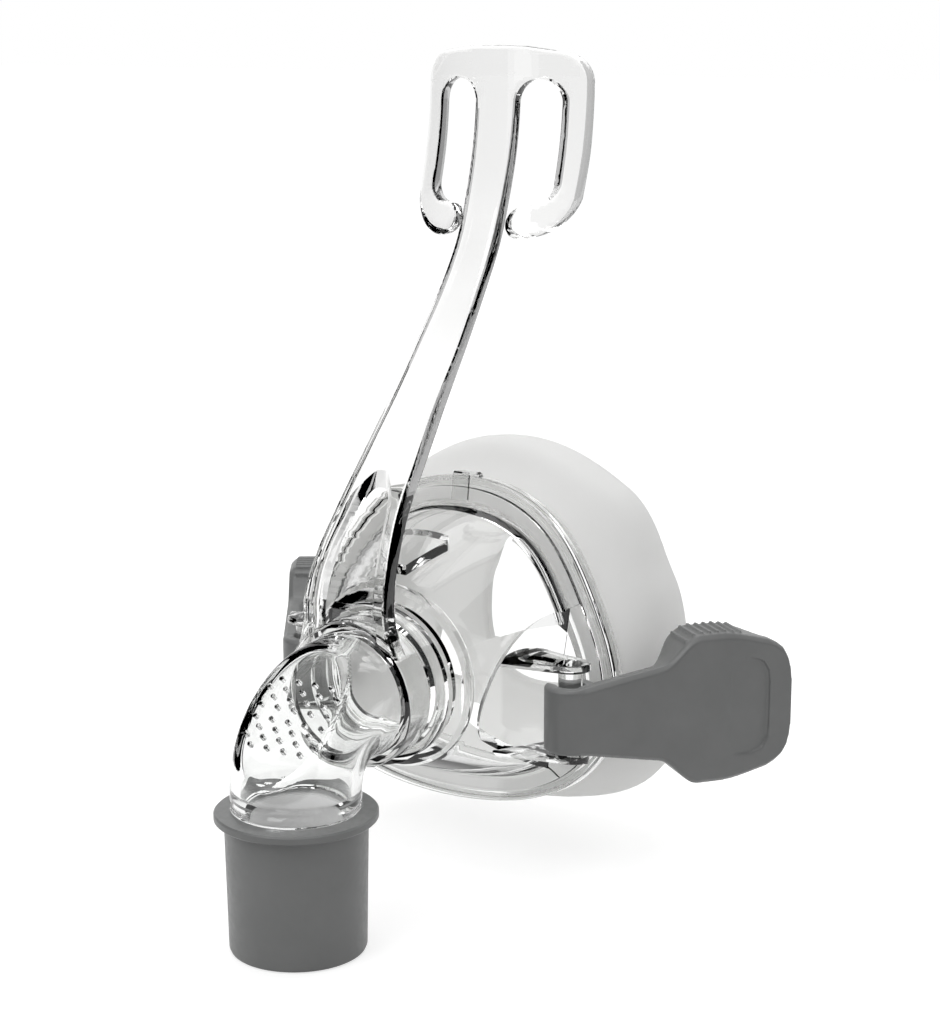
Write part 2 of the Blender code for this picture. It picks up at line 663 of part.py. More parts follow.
def build_frame(home, cutters, look):
    body = dome_outside(home)
    body.name = "mask_frame"
    for side, word in ((1.0, "right"), (-1.0, "left")):
        combine(body, pocket_block(word + "_pocket", side, 0.0, cutters), "DIFFERENCE", cutters)
    bake(body)
    combine(body, brace_pad(home, cutters), "UNION", cutters)
    room = dome_inside(cutters)
    for side, word in ((1.0, "right"), (-1.0, "left")):
        combine(room, pocket_block(word + "_pocket_wall", side, POCKET_WALL, cutters), "DIFFERENCE", cutters)
    bake(room)

    arm = flat_plate(home)
    combine(arm, recess_cutter(cutters), "DIFFERENCE", cutters)
    bake(arm)
    bend_plate(arm)
    combine(body, arm, "UNION", cutters)
    for side, word in ((1.0, "right"), (-1.0, "left")):
        upper = lug(word + "_upper_lug", side, LUG_TOP_FACE, 1.0, home)
        lower = lug(word + "_lower_lug", side, LUG_BASE_FACE, -1.0, home)
        pin = post(word + "_pin", side * PIN_HALF, PIN_Y, LUG_BASE_FACE - 0.5 * LUG_THICK,
                   LUG_TOP_FACE + 0.5 * LUG_THICK, PIN_RADIUS, home)
        for extra in (upper, lower, pin):
            combine(body, extra, "UNION", cutters)
    combine(body, room, "DIFFERENCE", cutters)
    return finish(body, look)


# Ring that locks the cushion, behind the frame's rim

def build_ring(home, cutters, look):
    start = RIM_THICK + GAP
    end = start + RING_DEPTH
    rings = [
        rim_ring(start, 0.5 * MM),
        rim_ring(start + 0.4 * MM, 0.1 * MM),
        rim_ring(start + RING_DEPTH * 0.5, 0.0),
        rim_ring(end - 0.5 * MM, 0.35 * MM),
        rim_ring(end, 0.9 * MM),
        rim_ring(end, RING_LIP),
        rim_ring(end - RING_LIP_THICK, RING_LIP),
        rim_ring(end - RING_LIP_THICK, RING_WALL),
        rim_ring(start, RING_WALL),
    ]
    ring = loft("cushion_ring", rings, home, closed=True)
    combine(ring, ring_latch(start, home), "UNION", cutters)
    return finish(ring, look)


def ring_latch(start, home):
    """The catch at the ring's top: over the rim's edge and down its front face."""
    over = GAP + LATCH_THICK
    profile = [
        (start + 1.6 * MM, -0.6 * MM), (start + 1.6 * MM, 0.4 * over), (start + 0.6 * MM, over),
        (-over + 0.4 * MM, over), (-over, over - 0.4 * MM), (-over, -LATCH_REACH),
        (-GAP, -LATCH_REACH), (-GAP, GAP), (start + 0.4 * MM, GAP), (start + 0.4 * MM, -0.6 * MM),
    ]
    top = RIM_CENTRE + RIM_UP * rim_radius(0.0)
    rings = [[top + SIDE * x + RIM_BACK * back + RIM_UP * level for back, level in profile]
             for x in (-LATCH_HALF, LATCH_HALF)]
    return loft("ring_latch", rings, home)


# Cushion: a soft wall from the bead in the ring out to the widest line, rolled in to the seal

def cushion_outline(angle):
    """The cushion's own outline, as a share of its radius at the side."""
    marks = [(0.0, CUSHION_TOP), (radians(40.0), CUSHION_BROW), (radians(80.0), 1.0),
             (radians(130.0), CUSHION_CHEEK), (pi, CUSHION_BASE)]
    turn = min(pi, abs((angle + pi) % (2 * pi) - pi))
    for (a, low), (b, high) in zip(marks, marks[1:]):
        if turn <= b:
            break
    return mix(low, high, between(turn, a, b))


def cushion_section(forward, side, inset, count=RIM_ROUND):
    """A section of the cushion. It has the rim's shape and lean at the ring and its own further back."""
    share = between(forward, CUSHION_ROWS[0][0], CUSHION_ROWS[4][0])
    lean = mix(RIM_LEAN, CUSHION_LEAN, share)
    up = Vector((0.0, sin(lean), cos(lean)))
    rear = RIM_CENTRE + RIM_BACK * (RIM_THICK + GAP + RING_DEPTH)
    centre = Vector((0.0, -forward, mix(rear.z, CUSHION_RISE, share)))
    ring = []
    for i in range(count):
        angle = 2 * pi * i / count
        shape = mix(rim_radius(angle) / rim_radius(pi / 2), cushion_outline(angle), share)
        radius = side * shape - inset
        ring.append(centre + SIDE * radius * sin(angle) + up * radius * cos(angle))
    return ring


def build_cushion(home, look):
    start = RIM_THICK + GAP
    lip_front = start + RING_DEPTH - RING_LIP_THICK - GAP
    carry = SKIRT_INSET - GAP
    rings = [
        rim_ring(start, carry),
        rim_ring(start, RING_WALL + GAP),
        rim_ring(lip_front, RING_WALL + GAP),
        rim_ring(lip_front, RING_LIP + GAP),
    ]
    rings += [cushion_section(forward, side, 0.0) for forward, side, _ in CUSHION_ROWS]
    inner = list(zip(CUSHION_ROWS, CUSHION_ROWS[1:]))
    for (forward, side, wall), (far_forward, far_side, _) in reversed(inner):
        along = hypot(far_forward - forward, far_side - side)
        slope_in = (forward - far_forward) / along
        slope_front = (side - far_side) / along
        rings.append(cushion_section(forward + wall * slope_front, side, wall * slope_in))
    rings.append(rim_ring(start + SKIRT_DEPTH + 0.4 * MM, carry))
    return finish(loft("cushion", rings, home, closed=True), look)


# Elbow: one skin from the outlet spigot round the bend to the inlet spigot, and back inside

def outlet_ring(height, radius):
    return circle_ring(Vector((0.0, CROSSING.y, CUFF_TOP + height)), Vector((0.0, -1.0, 0.0)), radius)


PIVOT = Vector((0.0, CROSSING.y + ELBOW_PIVOT_BACK, CUFF_TOP + ELBOW_PIVOT_RISE))
BEND_ANGLE = pi / 2 - INLET_TILT
BEND_END = (PIVOT - CROSSING).dot(INLET)
INLET_FROM_PIVOT = (CROSSING + INLET * BEND_END - PIVOT).length
PANEL_NORMAL = Vector((0.0, -cos(PANEL_ANGLE), sin(PANEL_ANGLE)))
PANEL_UP = Vector((0.0, sin(PANEL_ANGLE), cos(PANEL_ANGLE)))


def flatten(point, sink):
    """Draws a point that lies beyond the vent panel's plane back to it, with a rounded edge."""
    above = (point - PIVOT).dot(PANEL_NORMAL) - (PANEL_REACH - sink)
    excess = 0.5 * (above + sqrt(above * above + PANEL_BLEND * PANEL_BLEND))
    return point - PANEL_NORMAL * excess


def bend_ring(share, inset, sink=0.0, count=ROUND):
    """A section of the bend, cut by the vent panel. Its plane turns about the pivot from the outlet to
    the inlet."""
    angle = BEND_ANGLE * share
    out = Vector((0.0, -cos(angle), sin(angle)))
    reach = mix(ELBOW_PIVOT_BACK, INLET_FROM_PIVOT, between(share, 0.0, 1.0))
    ring = circle_ring(PIVOT + out * reach, out, TUBE_RADIUS - inset, count)
    return [flatten(point, sink) for point in ring]


def elbow_rings():
    spigot = COLLAR_BORE - GAP
    snap_start = COLLAR_LIP_END + GAP
    bore = TUBE_RADIUS - TUBE_WALL
    outlet_bore = OUTLET_SPIGOT - 1.4 * MM
    outside = [
        outlet_ring(-OUTLET_DEPTH, OUTLET_SPIGOT - 0.3 * MM),
        outlet_ring(-OUTLET_DEPTH + 0.4 * MM, OUTLET_SPIGOT),
        outlet_ring(-OUTLET_DEPTH + 0.8 * MM, OUTLET_SPIGOT + 0.45 * MM),
        outlet_ring(-OUTLET_DEPTH + 1.4 * MM, OUTLET_SPIGOT + 0.45 * MM),
        outlet_ring(-OUTLET_DEPTH + 1.8 * MM, OUTLET_SPIGOT),
        outlet_ring(GAP, OUTLET_SPIGOT),
        outlet_ring(GAP, TUBE_RADIUS - 0.15 * MM),
        outlet_ring(GAP + 0.2 * MM, TUBE_RADIUS),
    ]
    outside += [bend_ring(i / BEND_STEPS, 0.0) for i in range(BEND_STEPS + 1)]
    outside += [
        inlet_ring(COLLAR_START - 1.0 * MM, spigot),
        inlet_ring(snap_start, spigot),
        inlet_ring(snap_start + 0.2 * MM, spigot + SNAP_HEIGHT),
        inlet_ring(snap_start + 0.8 * MM, spigot + SNAP_HEIGHT),
        inlet_ring(snap_start + SNAP_LENGTH, spigot - 0.3 * MM),
        inlet_ring(snap_start + SNAP_LENGTH, bore),
    ]
    inner_steps = BEND_STEPS - 4
    inside = [bend_ring(1.0 - i / inner_steps, TUBE_WALL, PANEL_WALL) for i in range(inner_steps + 1)]
    inside += [outlet_ring(0.4 * MM, outlet_bore), outlet_ring(-OUTLET_DEPTH, outlet_bore)]
    return outside + inside


def vent_points():
    """Where the vent holes go on the panel: rows of five and four by turns, mirrored about its middle."""
    points = []
    for row in range(VENT_ROWS):
        count = VENT_SHORT_ROW if row % 2 else VENT_LONG_ROW
        for half in (-1.0, 1.0):
            up = half * (VENT_MIDDLE + row * VENT_ROW)
            points += [((i - (count - 1) / 2) * VENT_PITCH, up) for i in range(count)]
    return points


def vent_cutters(home):
    """One mesh of separate pins, square to the vent panel."""
    bm = bmesh.new()
    turned = PANEL_NORMAL.to_track_quat("Z", "Y").to_matrix().to_4x4()
    for across, up in vent_points():
        centre = PIVOT + PANEL_NORMAL * PANEL_REACH + SIDE * across + PANEL_UP * up
        bmesh.ops.create_cone(bm, cap_ends=True, segments=VENT_SIDES, radius1=VENT_HOLE, radius2=VENT_HOLE,
                              depth=3.0 * PANEL_WALL, matrix=Matrix.Translation(centre) @ turned)
    mesh = bpy.data.meshes.new("vent_holes")
    bm.to_mesh(mesh)
    bm.free()
    return mesh_object("vent_holes", mesh, home)


def build_elbow(home, cutters, look):
    elbow = loft("elbow", elbow_rings(), home, closed=True)
    combine(elbow, vent_cutters(cutters), "DIFFERENCE", cutters)
    finish(elbow, look)
    elbow.data.transform(Matrix.Translation(-CROSSING))
    elbow.location = CROSSING
    return elbow


# Cuff: a turned sleeve that swivels on the elbow's outlet

def turned(name, profile, home, steps=ROUND):
    """A closed profile of (radius, height), outer side first and running down, spun about Z."""
    bm = bmesh.new()
    verts = [bm.verts.new((radius, 0.0, height)) for radius, height in profile]
    for a, b in zip(verts, verts[1:] + verts[:1]):
        bm.edges.new((a, b))
    mesh = bpy.data.meshes.new(name)
    bm.to_mesh(mesh)
    bm.free()
    made = mesh_object(name, mesh, home)
    spin = made.modifiers.new("Turned", "SCREW")
    spin.axis = "Z"
    spin.steps = steps
    spin.render_steps = steps
    spin.use_merge_vertices = True
    spin.merge_threshold = 0.00001
    return made


def build_cuff(home, look):
    groove_low = -OUTLET_DEPTH + 0.8 * MM - GAP
    groove_high = -OUTLET_DEPTH + 1.4 * MM + GAP
    bore = OUTLET_SPIGOT + GAP
    groove = OUTLET_SPIGOT + 0.45 * MM + GAP
    step = -OUTLET_DEPTH - GAP
    profile = [
        (CUFF_FLANGE - 0.25 * MM, 0.0), (CUFF_FLANGE, -0.25 * MM),
        (CUFF_FLANGE, -CUFF_FLANGE_THICK + 0.25 * MM), (CUFF_FLANGE - 0.25 * MM, -CUFF_FLANGE_THICK),
        (CUFF_TOP_RADIUS + 0.4 * MM, -CUFF_FLANGE_THICK), (CUFF_TOP_RADIUS, -CUFF_FLANGE_THICK - 0.4 * MM),
        (CUFF_END_RADIUS, -CUFF_LENGTH + CUFF_EDGE),
        (CUFF_END_RADIUS - 0.3 * CUFF_EDGE, -CUFF_LENGTH + 0.3 * CUFF_EDGE),
        (CUFF_END_RADIUS - CUFF_EDGE, -CUFF_LENGTH),
        (CUFF_END_BORE + 0.3 * MM, -CUFF_LENGTH), (CUFF_END_BORE, -CUFF_LENGTH + 0.3 * MM),
        (CUFF_END_BORE, step), (bore, step), (bore, groove_low - 0.4 * MM), (groove, groove_low),
        (groove, groove_high), (bore, groove_high + 0.4 * MM), (bore, -0.3 * MM), (bore + 0.3 * MM, 0.0),
    ]
    cuff = turned("swivel_cuff", profile, home)
    cuff.location = (0.0, CROSSING.y, CUFF_TOP)
    return finish(cuff, look)


# Headgear clips

def clip_half_height(along):
    """Half the clip's height at a distance from the pin."""
    neck = mix(CLIP_NECK_HALF, CLIP_WAIST_HALF, min(1.0, max(0.0, along / CLIP_NECK_END)))
    paddle = mix(CLIP_PADDLE_HALF, CLIP_END_HALF, between(along, CLIP_SHOULDER + 4.0 * MM, CLIP_LENGTH))
    return mix(neck, paddle, between(along, CLIP_NECK_END - 0.5 * MM, CLIP_SHOULDER))


def clip_thickness(along):
    start = CLIP_SHOULDER - 1.6 * CLIP_BLOCK_RISE
    rise = between(along, start, start + CLIP_BLOCK_RISE)
    fall = between(along, CLIP_BLOCK_END, CLIP_BLOCK_END + CLIP_BLOCK_FALL)
    return mix(CLIP_PLATE, CLIP_BLOCK, rise * (1.0 - fall))


def clip_section(along, half, thick, edge):
    """A rounded rectangle across the clip: along it, out from the pin's plane, and up."""
    outer = CLIP_BARREL
    inner = outer - thick
    corners = [(outer - edge, half), (outer, half - edge), (outer, edge - half), (outer - edge, -half),
               (inner + edge, -half), (inner, edge - half), (inner, half - edge), (inner + edge, half)]
    return [Vector((along, out, up)) for out, up in corners]


def clip_body(home):
    end = CLIP_LENGTH
    marks = [mix(0.0, CLIP_NECK_END, share) for share in (0.0, 0.2, 0.53, 0.9)]
    marks += [mix(CLIP_NECK_END, CLIP_SHOULDER, share) for share in (0.0, 0.24, 0.46, 0.74)]
    marks += [mix(CLIP_SHOULDER, CLIP_BLOCK_END, share) for share in (0.0, 0.45, 1.0)]
    marks += [CLIP_BLOCK_END + CLIP_BLOCK_FALL * share for share in (0.33, 0.67, 1.0)]
    rings = [clip_section(mark, clip_half_height(mark), clip_thickness(mark), CLIP_EDGE) for mark in marks]
    for back, shrink in ((2.6, 0.25), (1.4, 1.2), (0.6, 2.6), (0.15, 4.4)):
        along = end - back * MM
        edge = min(CLIP_EDGE, 0.3 * CLIP_PLATE + 0.02 * back * MM)
        rings.append(clip_section(along, CLIP_END_HALF - shrink * MM, CLIP_PLATE - 0.15 * shrink * MM, edge))
    rings.append(clip_section(end, CLIP_END_HALF - 6.0 * MM, CLIP_PLATE - 1.3 * MM, 0.6 * MM))
    return loft("clip_body", rings, home)


def box_between(name, low, high, home):
    bm = bmesh.new()
    bmesh.ops.create_cube(bm, size=1.0)
    for vert in bm.verts:
        vert.co = Vector([mix(a, b, c + 0.5) for a, b, c in zip(low, high, vert.co)])
    mesh = bpy.data.meshes.new(name)
    bm.to_mesh(mesh)
    bm.free()
    return mesh_object(name, mesh, home)


def clip_barrel(home):
    half = CLIP_NECK_HALF
    rings = []
    for z, radius in ((-half, CLIP_BARREL - 0.5 * MM), (-half + 0.5 * MM, CLIP_BARREL),
                      (half - 0.5 * MM, CLIP_BARREL), (half, CLIP_BARREL - 0.5 * MM)):
        rings.append([Vector((radius * sin(2 * pi * i / 32), radius * cos(2 * pi * i / 32), z))
                      for i in range(32)])
    return loft("clip_barrel", rings, home)


def grip_ribs(home):
    """Slanted ribs across the grip block's top edge."""
    bm = bmesh.new()
    first = CLIP_NECK_END + CLIP_RIB_START
    pitch = (CLIP_BLOCK_END - CLIP_RIB_HEIGHT - first) / (CLIP_RIBS - 1)
    for i in range(CLIP_RIBS):
        along = first + pitch * i
        half = clip_half_height(along)
        rib = bmesh.ops.create_cube(bm, size=1.0)["verts"]
        for vert in rib:
            x = along + vert.co.x * pitch * (0.3 if vert.co.z > 0 else 0.75)
            out = CLIP_BARREL - CLIP_BLOCK / 2 + vert.co.y * (CLIP_BLOCK - 2 * CLIP_RIB_MARGIN)
            up = half + (CLIP_RIB_HEIGHT if vert.co.z > 0 else -CLIP_RIB_ROOT)
            vert.co = Vector((x, out, up))
    mesh = bpy.data.meshes.new("grip_ribs")
    bm.to_mesh(mesh)
    bm.free()
    return mesh_object("grip_ribs", mesh, home)


def build_clip(name, side, angle, home, cutters, look):
    clip = clip_body(home)
    clip.name = name
    combine(clip, clip_barrel(cutters), "UNION", cutters)
    bore = post(name + "_bore", 0.0, 0.0, -2 * CLIP_NECK_HALF, 2 * CLIP_NECK_HALF, CLIP_BORE, cutters, 28)
    combine(clip, bore, "DIFFERENCE", cutters)
    mouth = box_between(name + "_mouth", (-2 * CLIP_BARREL, -CLIP_MOUTH / 2, -2 * CLIP_NECK_HALF),
                        (-0.2 * MM, CLIP_MOUTH / 2, 2 * CLIP_NECK_HALF), cutters)
    mouth.rotation_euler = (0.0, 0.0, radians(62.0))
    combine(clip, mouth, "DIFFERENCE", cutters)
    combine(clip, grip_ribs(cutters), "UNION", cutters)
    slot_outer = CLIP_BARREL - CLIP_SKIN
    channel = box_between(name + "_strap_channel", (CLIP_SLOT_START, slot_outer - STRAP_SLOT, -STRAP_SLOT_HALF),
                          (CLIP_LENGTH + 4.0 * MM, slot_outer, STRAP_SLOT_HALF), cutters)
    window = box_between(name + "_strap_window", (CLIP_SLOT_START, -3.0 * CLIP_BARREL, -STRAP_SLOT_HALF),
                         (CLIP_BAR_START, slot_outer, STRAP_SLOT_HALF), cutters)
    combine(clip, channel, "DIFFERENCE", cutters)
    combine(clip, window, "DIFFERENCE", cutters)
    bake(clip)
    if side > 0.0:
        turn = Matrix.Rotation(angle, 4, "Z") @ Matrix.Diagonal((1.0, -1.0, 1.0, 1.0))
    else:
        turn = Matrix.Rotation(pi - angle, 4, "Z")
    clip.data.transform(turn)
    if side > 0.0:
        clip.data.flip_normals()
    clip.location = (side * PIN_HALF, PIN_Y, CLIP_MIDDLE)
    return finish(clip, look)


def main():
    clear_scene()
    pieces = collection("nasal_mask")
    cutters = collection("cutters")
    clear = material("clear_plastic", (0.93, 0.94, 0.94), 0.04, 1.0)
    silicone = material("silicone", (0.88, 0.88, 0.87), 0.45, 0.4)
    grey = material("grey_plastic", (0.165, 0.17, 0.168), 0.45)
    build_frame(pieces, cutters, clear)
    build_ring(pieces, cutters, clear)
    build_cushion(pieces, silicone)
    build_elbow(pieces, cutters, clear)
    build_cuff(pieces, grey)
    build_clip("right_clip", 1.0, RIGHT_CLIP_ANGLE, pieces, cutters, grey)
    build_clip("left_clip", -1.0, LEFT_CLIP_ANGLE, pieces, cutters, grey)


main()
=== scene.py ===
"""Looks of the nasal mask: finer meshes of its seven pieces, clear plastic, grey plastic and silicone, a
pale studio and the camera. Everything is in metres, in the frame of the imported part."""
import json
from math import ceil, cos, hypot, pi, radians, sin, sqrt

import bmesh
import bpy
from mathutils import Matrix, Vector

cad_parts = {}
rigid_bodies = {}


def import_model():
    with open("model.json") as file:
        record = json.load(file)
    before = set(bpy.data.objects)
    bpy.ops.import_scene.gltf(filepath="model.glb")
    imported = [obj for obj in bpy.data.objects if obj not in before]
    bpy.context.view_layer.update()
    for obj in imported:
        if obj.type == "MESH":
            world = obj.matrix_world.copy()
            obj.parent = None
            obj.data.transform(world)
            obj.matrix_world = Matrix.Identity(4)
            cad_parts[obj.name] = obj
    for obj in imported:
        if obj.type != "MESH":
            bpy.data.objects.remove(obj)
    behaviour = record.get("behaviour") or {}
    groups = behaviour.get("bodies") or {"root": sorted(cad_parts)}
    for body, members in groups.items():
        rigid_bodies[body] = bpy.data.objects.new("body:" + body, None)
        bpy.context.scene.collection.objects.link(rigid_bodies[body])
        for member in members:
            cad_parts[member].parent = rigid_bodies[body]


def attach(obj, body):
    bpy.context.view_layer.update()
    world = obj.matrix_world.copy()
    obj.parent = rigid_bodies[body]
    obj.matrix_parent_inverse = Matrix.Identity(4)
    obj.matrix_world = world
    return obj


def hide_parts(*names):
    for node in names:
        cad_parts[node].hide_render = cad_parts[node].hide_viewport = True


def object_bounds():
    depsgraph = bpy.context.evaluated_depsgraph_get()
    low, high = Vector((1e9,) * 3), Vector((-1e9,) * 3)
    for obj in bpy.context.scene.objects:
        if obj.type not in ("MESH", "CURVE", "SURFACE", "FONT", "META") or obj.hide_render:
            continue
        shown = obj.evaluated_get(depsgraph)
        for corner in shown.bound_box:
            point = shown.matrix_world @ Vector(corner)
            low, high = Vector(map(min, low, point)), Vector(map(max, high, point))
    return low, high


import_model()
CAD_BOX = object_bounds()
MM = 0.001


def in_mm(rows):
    """Rows of sizes, given in millimetres."""
    return [tuple(value * MM for value in row) for row in rows]


# Camera, from the photograph's perspective
CAMERA_PLACE = Vector((205.59, -350.42, 110.01)) * MM
CAMERA_TURN = radians(33.0)
CAMERA_DROP = radians(12.642)
CAMERA_LENS = 79.16
CAMERA_SENSOR = 36.0

# Where the hose side lies, seen from the face seal
AXIS_FORWARD = 84.0 * MM  # the elbow's two axes cross this far in front of the seal
AXIS_RISE = 1.2 * MM  # and this far above it
INLET_TILT = radians(2.0)  # the collar's axis climbs towards the face by this much
CUFF_DROP = 14.2 * MM  # from the crossing down to the top of the cuff

# Clearances
GAP = 0.3 * MM  # between pieces that touch or turn on each other
CLIP_GAP = 0.6 * MM  # between a clip's barrel and the lower lug

# Collar of the frame, measured along its axis from the crossing
COLLAR_RADIUS = 12.2 * MM
COLLAR_BORE = 10.7 * MM
COLLAR_START = 13.6 * MM
COLLAR_LIP_END = 24.0 * MM  # the bore's retaining lip ends here
COLLAR_UNDERCUT = 0.4 * MM  # room round the elbow's snap ring, behind the lip
COLLAR_BAND_START = 19.6 * MM  # a thicker band behind the collar's groove
COLLAR_BAND_RADIUS = 13.4 * MM
BEAD_RADIUS = 15.6 * MM  # the ring where collar and dome meet
BEAD_START = 24.4 * MM
BEAD_END = 28.2 * MM

# Dome and rim of the frame
RIM_FORWARD = 39.8 * MM  # the rim's front face, in front of the seal
RIM_RISE = 3.0 * MM
RIM_LEAN = radians(7.4)  # the rim leans back at the top
RIM_RADIUS = 29.7 * MM  # mean radius, shaped by the four terms below
RIM_WIDER = 1.7 * MM  # wider than tall
RIM_TRIANGLE = 1.95 * MM  # broad below and narrow above
RIM_SQUARE = 0.21 * MM
RIM_CORNERS = 0.45 * MM
RIM_THICK = 1.9 * MM
RIM_STEP = 1.9 * MM  # width of the lower step along the rim's edge
RIM_STEP_DEEP = 0.8 * MM
RIM_FLANGE = 4.5 * MM  # how far the rim's flange stands out from the dome
DOME_START = 15.4 * MM  # radius of the dome at the bead
DOME_ROUNDNESS = 1.15  # 1 is a straight cone, and more is rounder
DOME_STEPS = 25
WALL = 2.0 * MM
SKIRT_DEPTH = 3.4 * MM  # the skirt behind the rim that carries the cushion
SKIRT_WALL = 1.4 * MM
SKIRT_INSET = 5.3 * MM  # from the rim's outline in to the skirt
PAST = 2.0 * MM  # how far a cutter runs past what it cuts

# Pockets in the dome's sides: a flat floor and a D-shaped outline, round towards the collar
POCKET_CLEAR = 0.3 * MM  # from the bead to where the floor's slope is measured
POCKET_HALF_FRONT = 13.8 * MM  # half-width between the pocket floors there
POCKET_HALF_BACK = 22.4 * MM  # and at the rim
POCKET_STEP = 0.3 * MM  # how far a pocket runs into the rim's face
POCKET_WALL = 1.3 * MM
POCKET_MIDDLE = -3.0 * MM  # height of a pocket's round end
POCKET_ABOVE = 15.6 * MM
POCKET_BELOW = 11.4 * MM
POCKET_LENGTH = 13.4 * MM
POCKET_DRAFT = 1.7 * MM
POCKET_SUNK = 0.5 * MM
POCKET_ROUND = 64

# Pins and lugs for the clips
PIN_HALF = 26.9 * MM  # the pins stand this far from the middle
PIN_BEFORE_RIM = 5.3 * MM  # and this far in front of the rim's face
PIN_RADIUS = 2.0 * MM
PIN_SHOULDER = 2.6 * MM  # bare pin between a clip's barrel and the upper lug
LUG_RADIUS = 3.4 * MM
LUG_THICK = 1.3 * MM
LUG_EDGE = 0.5 * MM
LUG_ROOT = 5.6 * MM  # half-width of a lug where it meets the pocket floor
LUG_ARCH = 3.1 * MM  # its height there, which falls to its thickness at the pin
LUG_STEPS = 24
LUG_ARCH_STEPS = 16

# Ring that locks the cushion to the frame
RING_DEPTH = 3.3 * MM
RING_WALL = 1.5 * MM
RING_LIP = 3.2 * MM  # how far its rear lip reaches in over the cushion's bead
RING_LIP_THICK = 1.2 * MM
LATCH_HALF = 1.6 * MM  # half the width of the catch that hooks over the rim's top
LATCH_THICK = 0.45 * MM
LATCH_REACH = 3.9 * MM  # how far its hook comes down the rim's face

# Cushion. Its outline in shares of the radius at the side, by the angle from the top, and its rows from
# the ring to the seal: distance in front of the seal, radius at the side, and wall thickness.
CUSHION_OUTLINE = [(0.0, 1.175), (34.0, 1.13), (64.0, 1.015), (86.0, 1.0), (130.0, 1.13), (180.0, 0.90)]
CUSHION_RISE = 0.3 * MM  # height of the cushion's own middle
CUSHION_LEAN = radians(-5.4)
CUSHION_ROWS = in_mm([
    (33.8, 27.2, 1.4), (31.8, 30.1, 1.6), (27.0, 31.7, 1.6), (21.0, 31.5, 1.6),
    (16.0, 31.0, 1.6), (11.5, 30.3, 1.5), (8.0, 29.1, 1.4), (4.8, 26.9, 1.2),
    (2.2, 23.9, 1.0), (0.5, 20.9, 1.0), (0.2, 18.3, 0.9), (1.6, 15.9, 0.8),
])
CUSHION_OWN_SHAPE = CUSHION_ROWS[4][0]  # from here back it has its own outline and no longer the rim's
CUSHION_STEPS = 5

# Elbow
TUBE_RADIUS = 10.4 * MM
TUBE_WALL = 1.6 * MM
ELBOW_PIVOT_BACK = 11.4 * MM  # the bend's pivot, behind the outlet's axis
ELBOW_PIVOT_RISE = 3.0 * MM  # and above the cuff
SNAP_HEIGHT = 0.7 * MM
SNAP_LENGTH = 1.6 * MM
OUTLET_SPIGOT = 9.1 * MM  # outside radius of the part that enters the cuff
OUTLET_WALL = 1.4 * MM
OUTLET_DEPTH = 12.5 * MM
OUTLET_BEAD = 0.45 * MM  # height of the bead that snaps into the cuff
OUTLET_BEAD_START = 0.8 * MM  # from the spigot's end
OUTLET_BEAD_END = 1.4 * MM
OUTLET_BEAD_SLOPE = 0.4 * MM

# Flat vent panel across the outer corner of the bend
PANEL_ANGLE = radians(45.0)
PANEL_REACH = 17.8 * MM  # from the bend's pivot
PANEL_WALL = 1.5 * MM
PANEL_BLEND = 0.25 * MM  # roundness of the panel's edge
VENT_HOLE = 0.42 * MM
VENT_PITCH = 3.2 * MM  # along a row
VENT_ROW = 1.62 * MM  # between rows
VENT_MIDDLE = 1.08 * MM  # the two middle rows lie this far from the panel's middle
VENT_ROWS = 4  # on each side of the middle
VENT_LONG_ROW = 5  # holes in every other row, from the middle outwards
VENT_SHORT_ROW = 4
VENT_SIDES = 18

# Cuff, the conical hose connector
CUFF_FLANGE = 13.0 * MM
CUFF_FLANGE_THICK = 1.4 * MM
CUFF_FLANGE_EDGE = 0.25 * MM
CUFF_TOP_RADIUS = 11.4 * MM
CUFF_END_RADIUS = 11.0 * MM
CUFF_LENGTH = 23.1 * MM
CUFF_END_BORE = 9.0 * MM
CUFF_EDGE = 0.7 * MM
CUFF_FILLET = 0.4 * MM  # under the flange and beside the groove
CUFF_LEAD = 0.3 * MM  # chamfer at both ends of the bore

# Forehead arm: a plate that is straight through along Y, bent to a side-view curve.
# Each row gives height above the seal, distance in front of the seal, half-width and thickness along Y.
ARM_STATIONS = in_mm([
    (103.8, 26.6, 3.95, 2.5), (95.0, 26.6, 3.95, 2.5), (87.0, 27.7, 3.9, 2.7), (79.0, 30.0, 3.8, 2.9),
    (71.0, 33.3, 3.75, 3.2), (63.0, 38.4, 3.95, 3.3), (55.0, 44.6, 4.4, 3.4), (47.0, 51.6, 4.75, 4.1),
    (39.0, 58.2, 5.45, 4.1), (31.0, 64.6, 6.2, 3.9), (23.0, 69.2, 7.4, 3.4), (17.0, 71.0, 8.1, 3.4),
    (12.8, 70.8, 8.5, 3.4), (8.4, 70.3, 9.9, 3.4),
])
PLATE_TOP = ARM_STATIONS[0][0]
STEM_HALF = ARM_STATIONS[1][2]
ARM_LOW = ARM_STATIONS[-1][0]
ARM_LOW_THICK = ARM_STATIONS[-3][3]  # its thickness beside the recess
ARM_EDGE = 0.55 * MM  # rounding of the plate's edges
ARM_STEP = 0.75 * MM  # length of a bent facet
FLAT_HALF = 1.0 * MM  # half the thickness of the plate before it is bent

